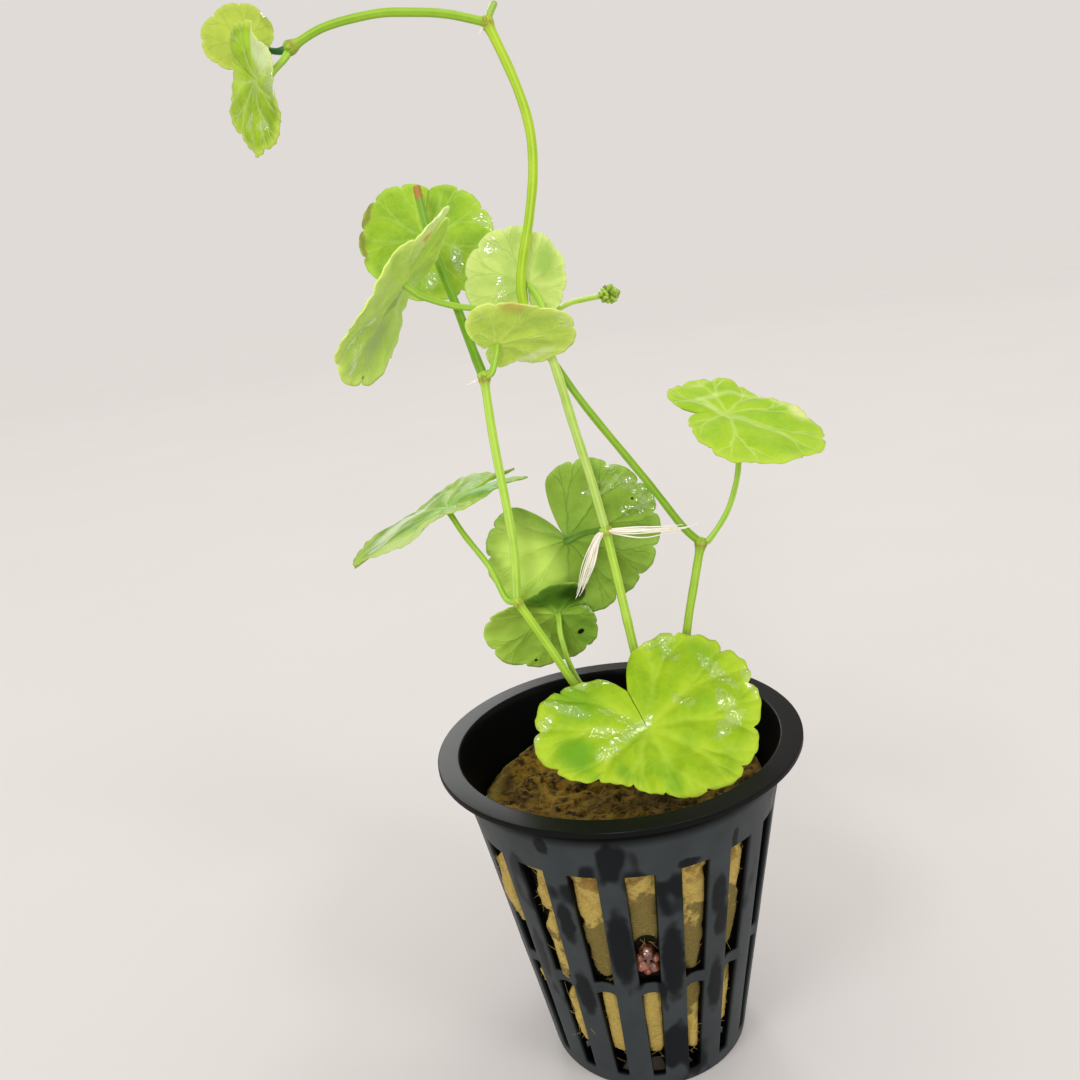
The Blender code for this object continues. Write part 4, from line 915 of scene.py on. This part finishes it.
class PENNYWORT_OT_rock_wool(bpy.types.Operator):
    """Spin the wool plug, tear its edges and push it out through the slots"""

    bl_idname = "pennywort.rock_wool"
    bl_label = "Rock wool"

    def execute(self, context):
        settings = context.scene.pennywort_pot
        heights = [WOOL_FOOT + 0.45 * step for step in range(int((WOOL_TOP - WOOL_FOOT) / 0.45))]
        profile = [(0.0, WOOL_FOOT)] + [(radius, WOOL_FOOT) for radius in (3.0, 6.0, 8.0, 9.0)]
        profile += [(9.0 + (inner_radius(4.0) - 9.2) * share, WOOL_FOOT + 2.6 * share)
                    for share in (0.2, 0.4, 0.6, 0.8)]
        profile += [(inner_radius(height) - 0.2, height) for height in heights if height > 4.2]
        profile += [(inner_radius(WOOL_TOP) - 0.2 - 0.5 * step, WOOL_TOP) for step in range(1, 45)]
        profile.append((0.0, WOOL_TOP))
        bm = bmesh.new()
        top, soaked, deep = new_layers(bm, "top", "soaked", "deep")
        spin_profile(bm, profile, WOOL_SPOKES)
        for corner in bm.verts:
            place = corner.co.copy()
            radius = Vector(place.xy).length
            way = Vector((place.x, place.y, 0)).normalized() if radius > 0.1 else Vector()
            slot, aside = self.slot_of(atan2(place.y, place.x) * 180 / pi)
            fine = 0.3 * noise.noise(place / 1.3) + 0.2 * noise.noise(place / 0.6)
            rough = 0.55 * noise.noise(place / 3.5) + fine
            if radius > inner_radius(place.z) - 0.3 and place.z < WOOL_TOP - 0.2:
                out = self.stand_out(slot, aside, place)
                # Painted shade: the deep layer marks where the wool stands back behind a slot, and the
                # material paints it near black there.
                corner[deep] = smooth_step((-out - 0.35) / 0.5)
                corner.co += way * (out + 0.5 * fine - self.worn_edge(place, way))
                corner.co.z += 0.5 * rough * smooth_step((place.z - 6.0) / 3.0)
            elif place.z > WOOL_TOP - 0.2:
                rim = smooth_step((radius - 18.0) / 4.0)
                pits = max(0.0, noise.noise(place / 1.7 + Vector((3, 1, 5))) - 0.12)
                sunk = 2.2 * pits * (1 - rim) + 0.7 * rim * (0.5 + noise.noise(place / 4.0))
                corner.co.z += 1.1 * rough - sunk
                corner.co -= way * self.worn_edge(place, way) * smooth_step((radius - 14) / 8.0)
            if place.z < 9.0 and radius > 9.5:
                lift = 1.6 + 1.6 * noise.noise(place / 3.0) + 0.5 * noise.noise(place / 1.2)
                corner.co.z += lift * smooth_step((9.0 - place.z) / 5.0) * smooth_step((radius - 9.5) / 4.0)
            corner[top] = smooth_step((place.z - WOOL_TOP + 1.2 + rough) / 1.2)
            low, high, amount = SOAKED.get(slot, (18.0, 34.0, 0.45))
            below, above = smooth_step((high - place.z) / 9 + 0.5), smooth_step((place.z - low) / 9 + 0.5)
            corner[soaked] = amount * below * above
        show(bm, "torn_rock_wool", wool_material(settings), ["rock_wool"])
        self.add_fibres(settings)
        return {"FINISHED"}

    @staticmethod
    def slot_of(azimuth):
        """The slot nearest to this azimuth, in whole degrees, and how far to the right of it this lies."""
        number = round((azimuth - FIRST_SLOT_DEG) / 20.0)
        middle = FIRST_SLOT_DEG + 20.0 * number
        return round((middle + 180.0) % 360.0 - 180.0), azimuth - middle

    @staticmethod
    def stand_out(slot, aside, place):
        """How far the wool stands out, or back, behind a slot."""
        half = 10.0 - RIB_WIDTH / outer_radius(place.z) * 90 / pi
        wobble = 0.25 * noise.noise(place / 2.2)
        out = 0.0
        for low, high, middle, width, size in SLOT_BULGES.get(slot, OTHER_BULGES):
            across = (aside / half - middle + wobble) / width
            upright = ((place.z - (low + high) / 2) / (high - low) * 2 + wobble) / 1.02
            inside = smooth_step((1 - abs(across) ** 3 - upright ** 4) * 1.7)
            uneven = 0.9 + 0.45 * noise.noise(place / 4.5)
            out = max(out, (size * uneven + WOOL_RECESS) * inside)
        in_slot = smooth_step((place.z - 3.0) / 2.0) * smooth_step((40.6 - place.z) / 1.5)
        back = 2.4 if slot == EMPTY_SLOT else WOOL_RECESS
        out = out * in_slot - back * in_slot
        if slot == BEAD_SLOT:
            away = sqrt((aside / half * 0.5) ** 2 + ((place.z - BEAD_HEIGHT) / 5.0) ** 2)
            out -= 1.5 * smooth_step((1.0 - away) * 2.5)
        return out

    @staticmethod
    def worn_edge(place, way):
        """How much of the top edge is worn or torn away here; most is gone on the left."""
        torn_way = on_circle(1, radians(TORN_SIDE_DEG), 0)
        high = smooth_step((place.z - TORN_FROM) / (WOOL_TOP - TORN_FROM))
        torn = 2.4 * max(0.0, way.dot(torn_way)) ** 4
        return high * (torn + 1.2 * max(0.0, noise.noise(place / 4.0)) + 0.3)

    @staticmethod
    def add_fibres(settings):
        """Loose strands that stand off the torn edges and the top."""
        dice = random.Random(11)
        bm = bmesh.new()
        new_layers(bm, "top", "soaked", "deep")
        bulges = [(slot, bulge) for slot, found in SLOT_BULGES.items() for bulge in found]
        for number in range(FIBRE_COUNT):
            if number % 2:
                azimuth = dice.uniform(-pi, pi)
                radius = 19.5 * sqrt(dice.random())
                foot = on_circle(radius, azimuth, WOOL_TOP - 0.1)
                way = random_way(dice, -0.1, 0.3).normalized()
            else:
                slot, (low, high, middle, width, size) = dice.choice(bulges)
                height = dice.uniform(low + 1.0, high - 1.0)
                azimuth = radians(slot + middle * 4.0 + dice.uniform(-4, 4) * width)
                radius = inner_radius(height) + size * 0.8 - 0.2
                foot = on_circle(radius, azimuth, height)
                way = random_way(dice)
                out = Vector((foot.x, foot.y, 0)).normalized()
                way = (way - out * way.dot(out)).normalized() + out * dice.uniform(-0.05, 0.15)
            length = dice.uniform(0.8, 2.6)
            bow = random_way(dice, -0.3) * 0.25
            places = [foot + way * length * share + bow * share ** 2 for share in (0.0, 0.35, 0.7, 1.0)]
            draw_tube(bm, places, [0.026, 0.026, 0.02, 0.014], 4)
        show(bm, "loose_wool_fibres", wool_material(settings), [])


class PENNYWORT_OT_feed_beads(bpy.types.Operator):
    """Pack the coated feed beads into their hollow in the wool"""

    bl_idname = "pennywort.feed_beads"
    bl_label = "Feed beads"

    def execute(self, context):
        settings = context.scene.pennywort_pot
        turn = Matrix.Rotation(radians(FIRST_SLOT_DEG), 3, "Z")
        bm = bmesh.new()
        tone, = new_layers(bm, "tone")
        for number, (across, height, size, share) in enumerate(BEADS):
            bead = bmesh.ops.create_icosphere(bm, subdivisions=4, radius=size)["verts"]
            along = inner_radius(height) - size + (0.35 if number < PROUD_BEADS else 0.0)
            for corner in bead:
                shift = Vector((number * 3.0, 0, 0))
                dents = 0.12 * noise.noise(corner.co * 1.1 + shift)
                corner.co *= 1 + dents + 0.05 * noise.noise(corner.co * 3.5 + shift)
                corner[tone] = share
            bmesh.ops.translate(bm, verts=bead, vec=turn @ Vector((along, across, height)))
        show(bm, "coated_feed_beads", bead_material(settings), ["feed_beads"])
        return {"FINISHED"}


class PENNYWORT_OT_stems(bpy.types.Operator):
    """Draw every internode, ribbed along its length, swollen and scaly at its node"""

    bl_idname = "pennywort.stems"
    bl_label = "Stems and nodes"

    def execute(self, context):
        settings = context.scene.pennywort_plant
        for number, (name, (hex_colour, foot, head, route)) in enumerate(STEMS.items()):
            points = smooth_points(route)
            length = route_length(points)
            has_head = route[-1] in NODE.values()
            withered = name == "stem_left_withered"
            cut = name == "runner_stub"
            start = 0.4 if route[0] in NODE.values() else 0.0
            end = length + (0.98 * NODE_RADIUS if has_head else 0.0)

            def radius_at(distance):
                radius = foot + (head - foot) * min(distance / length, 1.0)
                radius *= 1 + 0.07 * noise.noise(Vector((distance / 3.0, 1.7 * number, 0.0)))
                if has_head:
                    radius += (NODE_RADIUS - head) * exp(-((distance - length) / 1.0) ** 2)
                if withered:
                    tip = smooth_step((distance - length + 2.4) / 0.8)
                    radius *= 1 + tip * (0.12 + 0.08 * sin(distance * tau / 0.8))
                return radius

            bm = bmesh.new()
            knob, dry, along = new_layers(bm, "knob", "dry", "along")
            draw_stalk(bm, points, radius_at, start, end, 24, 6)
            for corner in bm.verts:
                if has_head:
                    ring = exp(-((corner[along] - length + 0.5) / 0.35) ** 2)
                    corner[knob] = min(1.0, 0.2 * exp(-((corner[along] - length) / 0.8) ** 2) + 0.6 * ring)
                if withered:
                    is_end = smooth_step((corner[along] - length + 0.5) / 0.3)
                    corner[dry] = smooth_step((corner[along] - length + 2.5) / 0.6) * (1 - is_end)
                    corner[knob] = is_end
                if cut:
                    corner[knob] = smooth_step((corner[along] - length + 0.35) / 0.25)
            if has_head:
                self.add_scales(bm, knob, points[-1], (points[-1] - points[-3]).normalized(), number)
            finish = stem_material("living_" + name, hex_colour, settings)
            show(bm, "ribbed_" + name, finish, [name])
        return {"FINISHED"}

    @staticmethod
    def add_scales(bm, knob, place, way, seed):
        """Small dry scales that clasp the node."""
        dice = random.Random(70 + seed)
        side = way.orthogonal().normalized()
        for number in range(6):
            out = Matrix.Rotation(tau * number / 6 + dice.uniform(-0.4, 0.4), 3, way) @ side
            scale = bmesh.ops.create_icosphere(bm, subdivisions=2, radius=0.45)["verts"]
            tall = dice.uniform(1.0, 1.7)
            tip = way * tall + out * dice.uniform(0.0, 0.6)
            turned = Matrix((out * 0.35, way.cross(out) * 0.9, tip)).transposed()
            bmesh.ops.transform(bm, matrix=turned.to_4x4(), verts=scale)
            middle = place + out * (NODE_RADIUS * 0.86) + way * dice.uniform(-0.3, 0.3)
            bmesh.ops.translate(bm, verts=scale, vec=middle)
            shade = dice.uniform(0.1, 0.8)
            for corner in scale:
                corner[knob] = shade


class PENNYWORT_OT_leaf_stalks(bpy.types.Operator):
    """Draw the stalk of every leaf and of the flower bud"""

    bl_idname = "pennywort.leaf_stalks"
    bl_label = "Leaf stalks"

    def execute(self, context):
        settings = context.scene.pennywort_plant
        for name, leaf in LEAVES.items():
            normal = leaf_frame(leaf)[2]
            under = Vector(leaf["centre"]) - normal * (0.53 + 0.5 * leaf["pleat"])
            route = leaf["stalk"] + [tuple(under - normal * 1.2), tuple(under)]
            finish = stem_material("living_stalk_" + name, leaf.get("stalk_tint", "#A6CF45"), settings)
            from_node = leaf["stalk"][0] in NODE.values()
            self.draw_piece("petiole_" + name, route, PETIOLE_RADIUS, from_node, finish)
        finish = stem_material("living_stalk_bud", "#B8D45C", settings)
        self.draw_piece("bud_stalk", BUD_STALK + [BUD_CENTRE], BUD_STALK_RADIUS, True, finish)
        return {"FINISHED"}

    @staticmethod
    def draw_piece(name, route, radius, from_node, finish):
        points = smooth_points(route)
        length = route_length(points)

        def radius_at(distance):
            flare = 0.3 * exp(-((distance - length) / 0.7) ** 2) + 0.35 * exp(-(distance / 1.6) ** 2)
            return radius * (1 + flare + 0.06 * noise.noise(Vector((distance / 2.5, 4.2, 0.0))))

        bm = bmesh.new()
        new_layers(bm, "knob", "dry")
        draw_stalk(bm, points, radius_at, 0.5 if from_node else 0.0, length, 18, 4)
        show(bm, "ribbed_" + name, finish, [name])


def leaf_frame(leaf):
    """The midrib's direction, the direction across it and the upper face's normal."""
    normal = facing_way(*leaf["face"])
    level = Vector((0, 0, 1)).cross(normal).normalized()
    turn = radians(leaf["midrib"])
    midrib = level * cos(turn) + normal.cross(level) * sin(turn)
    return midrib, normal.cross(midrib), normal


def bend_point(point, facing, start, turn, width):
    """Rolls what lies past a line in the blade, by this angle over this width."""
    way = on_circle(1, radians(facing), 0)
    side = Vector((-way.y, way.x, 0))
    past = point.dot(way) - start
    if past <= 0:
        return point
    roll = radians(turn) / width
    angle = roll * min(past, width)
    rest = max(past - width, 0.0)
    along = sin(angle) / roll + rest * cos(angle) - point.z * sin(angle)
    rise = (1 - cos(angle)) / roll + rest * sin(angle) + point.z * cos(angle)
    return way * (start + along) + side * point.dot(side) + Vector((0, 0, rise))


class PENNYWORT_OT_leaves(bpy.types.Operator):
    """Wrap a fine grid round each stalk into a veined, toothed blade"""

    bl_idname = "pennywort.leaves"
    bl_label = "Leaf blades"

    def execute(self, context):
        settings = context.scene.pennywort_plant
        for number, (name, leaf) in enumerate(LEAVES.items()):
            bm = bmesh.new()
            share, reach, upper = new_layers(bm, "share", "reach", "upper")
            flat = bm.verts.layers.float_vector.new("flat")
            bmesh.ops.create_grid(
                bm, x_segments=leaf["teeth"] * SPOKES_PER_TOOTH, y_segments=BLADE_RINGS, size=0.5)
            for corner in bm.verts:
                corner[share] = corner.co.x + 0.5
                corner[reach] = corner.co.y + 0.5
            for part in bmesh.ops.extrude_face_region(bm, geom=bm.faces[:])["geom"]:
                if isinstance(part, bmesh.types.BMVert):
                    part[upper] = 1.0
            midrib, across, normal = leaf_frame(leaf)
            for corner in bm.verts:
                point, spot = self.blade_point(
                    leaf, corner[share], corner[reach], corner[upper], number, settings)
                corner[flat] = (spot.x, spot.y, corner[reach])
                corner.co = Vector(leaf["centre"]) + midrib * point.x + across * point.y + normal * point.z
            finish = leaf_material(name, leaf, settings)
            show(bm, "veined_leaf_" + name, finish, ["leaf_" + name])
        return {"FINISHED"}

    @staticmethod
    def vein_distance(leaf, angle, reach, radius):
        """Distance in millimetres to the nearest vein; each vein forks twice on its way to the margin."""
        turns = veins_per_radian(leaf)
        part = abs((angle * turns + leaf["veins"] / 2) % 1 - 0.5)
        for fork_from, fork_to, size in VEIN_FORKS:
            part = abs(part - size * smooth_step((reach - fork_from) / (fork_to - fork_from)))
        return part / turns * radius

    def blade_point(self, leaf, share, reach, upper, number, settings):
        """Where this point of the blade lies, and its place in the blade laid flat."""
        opening = max(0.0, (reach - leaf["closed"]) / (1 - leaf["closed"])) ** 0.8
        slit = asin(min(1.0, 0.06 / max(leaf["radius"] * reach, 0.06)))
        notch = max(radians(leaf["notch"]) * opening, slit)
        angle = -pi + notch + (tau - 2 * notch) * share
        waves = (cos(angle), sin(angle), cos(2 * angle), sin(2 * angle), cos(3 * angle), sin(3 * angle))
        radius = leaf["radius"] * (1 + sum(size * wave for size, wave in zip(leaf["shape"], waves)))
        scallop = 1 - sqrt(abs(sin(pi * leaf["teeth"] * share)))
        small = 1 - sqrt(abs(sin(3 * pi * leaf["teeth"] * share)))
        lobe_end = 1 - smooth_step(min(share, 1 - share) * leaf["teeth"] * 0.9)
        radius *= reach * (1 - settings.crenation * scallop * reach ** 4 - 0.012 * small * reach ** 8)
        radius *= 1 - 0.1 * lobe_end * reach ** 6
        spot = on_circle(radius, angle, 0)
        apart = self.vein_distance(leaf, angle, reach, radius)
        pillow = leaf["pleat"] * (1 - exp(-(apart / 1.2) ** 2)) * smooth_step(reach * 2.2)
        count, size, phase = leaf["ruffle"]
        ruffle = size * reach ** 2.5 * sin(count * angle + phase)
        uneven = 0.35 * noise.noise(Vector((spot.x / 4.5, spot.y / 4.5, 7.3 * number)))
        uneven += 0.14 * noise.noise(Vector((spot.x / 1.7, spot.y / 1.7, 3.1 * number)))
        uneven *= smooth_step(reach * 1.5) * leaf.get("crumple", 1.0)
        dip = -0.5 * exp(-(radius / 1.8) ** 2)
        height = pillow + ruffle + uneven + dip - 0.5 * leaf["pleat"]
        thick = settings.blade_thickness / MM * (1 - 0.55 * smooth_step((reach - 0.85) / 0.15))
        if upper > 0.5:
            height += thick / 2
        else:
            height -= thick / 2 + 0.14 * exp(-(apart / 0.28) ** 2) * (1 - 0.6 * reach)
        point = Vector((spot.x, spot.y, height))
        for bend in leaf["bends"]:
            point = bend_point(point, *bend)
        return point, spot


class PENNYWORT_OT_roots(bpy.types.Operator):
    """Draw the strands of each root tuft"""

    bl_idname = "pennywort.roots"
    bl_label = "Roots"

    def execute(self, context):
        settings = context.scene.pennywort_plant
        for seed, (name, (strands, thickness, spreads, middle)) in enumerate(ROOTS.items()):
            dice = random.Random(40 + seed)
            bm = bmesh.new()
            for _ in range(strands):
                lean = Vector((dice.gauss(0, 1), dice.gauss(0, 1), dice.gauss(0, 1))).normalized()
                route = [Vector(point) + (lean + random_way(dice) * 0.25) * spread
                         for point, spread in zip(middle, spreads)]
                points = smooth_points(route)
                length = route_length(points) * dice.uniform(0.7, 1.0)
                count = max(4, round(length / 0.4))
                places = [point_at(points, length * step / count) for step in range(count + 1)]
                thick = thickness * dice.uniform(0.75, 1.2)
                radii = [thick * (1 - 0.7 * (step / count) ** 2) for step in range(count + 1)]
                draw_tube(bm, places, radii, 8)
            show(bm, "strands_" + name, root_material(settings), [name])
        return {"FINISHED"}


class PENNYWORT_OT_flower_bud(bpy.types.Operator):
    """Pack the small round buds of the flower head together"""

    bl_idname = "pennywort.flower_bud"
    bl_label = "Flower bud"

    def execute(self, context):
        dice = random.Random(5)
        bm = bmesh.new()
        for number in range(BUD_COUNT):
            height = 1 - 2 * (number + 0.5) / BUD_COUNT
            turn = number * pi * (3 - sqrt(5)) + dice.uniform(-0.3, 0.3)
            way = on_circle(sqrt(1 - height * height), turn, height)
            size = dice.uniform(0.26, 0.55)
            ball = bmesh.ops.create_icosphere(bm, subdivisions=3, radius=size)["verts"]
            out = Vector(side * (reach - size * 0.8) for side, reach in zip(way, BUD_SIZE))
            place = Vector(BUD_CENTRE) + out
            for corner in ball:
                corner.co *= 1 + 0.15 * noise.noise(corner.co * 2.2 + Vector((number * 2.0, 0, 0)))
            stretch = Matrix.Scale(dice.uniform(1.1, 1.5), 3, way)
            bmesh.ops.transform(bm, matrix=stretch.to_4x4(), verts=ball)
            bmesh.ops.translate(bm, verts=ball, vec=place)
        show(bm, "packed_flower_bud", bud_material(), ["flower_bud"])
        return {"FINISHED"}


class PENNYWORT_OT_stage(bpy.types.Operator):
    """Lay the floor, hang the lamps in even studio air and set the eye"""

    bl_idname = "pennywort.stage"
    bl_label = "Floor, light and eye"

    def execute(self, context):
        settings = context.scene.pennywort_stage
        bm = bmesh.new()
        bmesh.ops.create_grid(bm, x_segments=4, y_segments=4, size=FLOOR_HALF * MM)
        floor = place_mesh(bm, "studio_floor", stage_material(settings.floor))
        for name, azimuth, elevation, share in LAMPS:
            lamp = bpy.data.lights.new(name, "SUN")
            lamp.angle = radians(LAMP_ANGLE_DEG)
            lamp.energy = settings.lamp_strength * share
            holder = place_object(name, lamp)
            holder.location = facing_way(azimuth, elevation)
            holder.rotation_euler = holder.location.to_track_quat("Z", "Y").to_euler()
        world = bpy.data.worlds.new("studio_air")
        world.use_nodes = True
        air = world.node_tree.nodes["Background"].inputs
        air["Color"].default_value = settings.air
        air["Strength"].default_value = 1.0
        context.scene.world = world
        context.scene.view_settings.view_transform = "Standard"
        lens = bpy.data.cameras.new("photo_view")
        lens.sensor_fit = "HORIZONTAL"
        lens.sensor_width = EYE_SENSOR
        lens.lens = EYE_LENS
        lens.clip_start = 0.01
        eye = place_object("photo_view", lens)
        axes = Matrix((EYE_RIGHT, EYE_UP, [-part for part in EYE_AHEAD])).transposed()
        eye.matrix_world = Matrix.Translation(Vector(EYE) * MM) @ axes.to_4x4()
        context.scene.camera = eye
        return {"FINISHED"}


class PENNYWORT_PT_panel(bpy.types.Panel):
    """Lists the pieces in building order, with their sizes and colours"""

    bl_idname = "PENNYWORT_PT_panel"
    bl_label = "Brazilian pennywort"
    bl_space_type = "VIEW_3D"
    bl_region_type = "UI"
    bl_category = "Pennywort"

    def draw(self, context):
        layout = self.layout
        for group in ("pennywort_pot", "pennywort_plant", "pennywort_stage"):
            settings = getattr(context.scene, group)
            box = layout.box()
            for name in settings.__annotations__:
                box.prop(settings, name)
        for operator in OPERATORS:
            layout.operator(operator.bl_idname)


GROUPS = {"pennywort_pot": PennywortPot, "pennywort_plant": PennywortPlant, "pennywort_stage": PennywortStage}
OPERATORS = (
    PENNYWORT_OT_net_pot, PENNYWORT_OT_rock_wool, PENNYWORT_OT_feed_beads, PENNYWORT_OT_stems,
    PENNYWORT_OT_leaf_stalks, PENNYWORT_OT_leaves, PENNYWORT_OT_roots, PENNYWORT_OT_flower_bud,
    PENNYWORT_OT_stage,
)


def register():
    for made in (*GROUPS.values(), *OPERATORS, PENNYWORT_PT_panel):
        bpy.utils.register_class(made)
    for name, group in GROUPS.items():
        setattr(bpy.types.Scene, name, bpy.props.PointerProperty(type=group))


def unregister():
    for name in GROUPS:
        delattr(bpy.types.Scene, name)
    for made in reversed((*GROUPS.values(), *OPERATORS, PENNYWORT_PT_panel)):
        bpy.utils.unregister_class(made)


def main():
    register()
    bpy.ops.pennywort.net_pot()
    bpy.ops.pennywort.rock_wool()
    bpy.ops.pennywort.feed_beads()
    bpy.ops.pennywort.stems()
    bpy.ops.pennywort.leaf_stalks()
    bpy.ops.pennywort.leaves()
    bpy.ops.pennywort.roots()
    bpy.ops.pennywort.flower_bud()
    bpy.ops.pennywort.stage()
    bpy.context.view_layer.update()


if __name__ == "__main__":
    main()
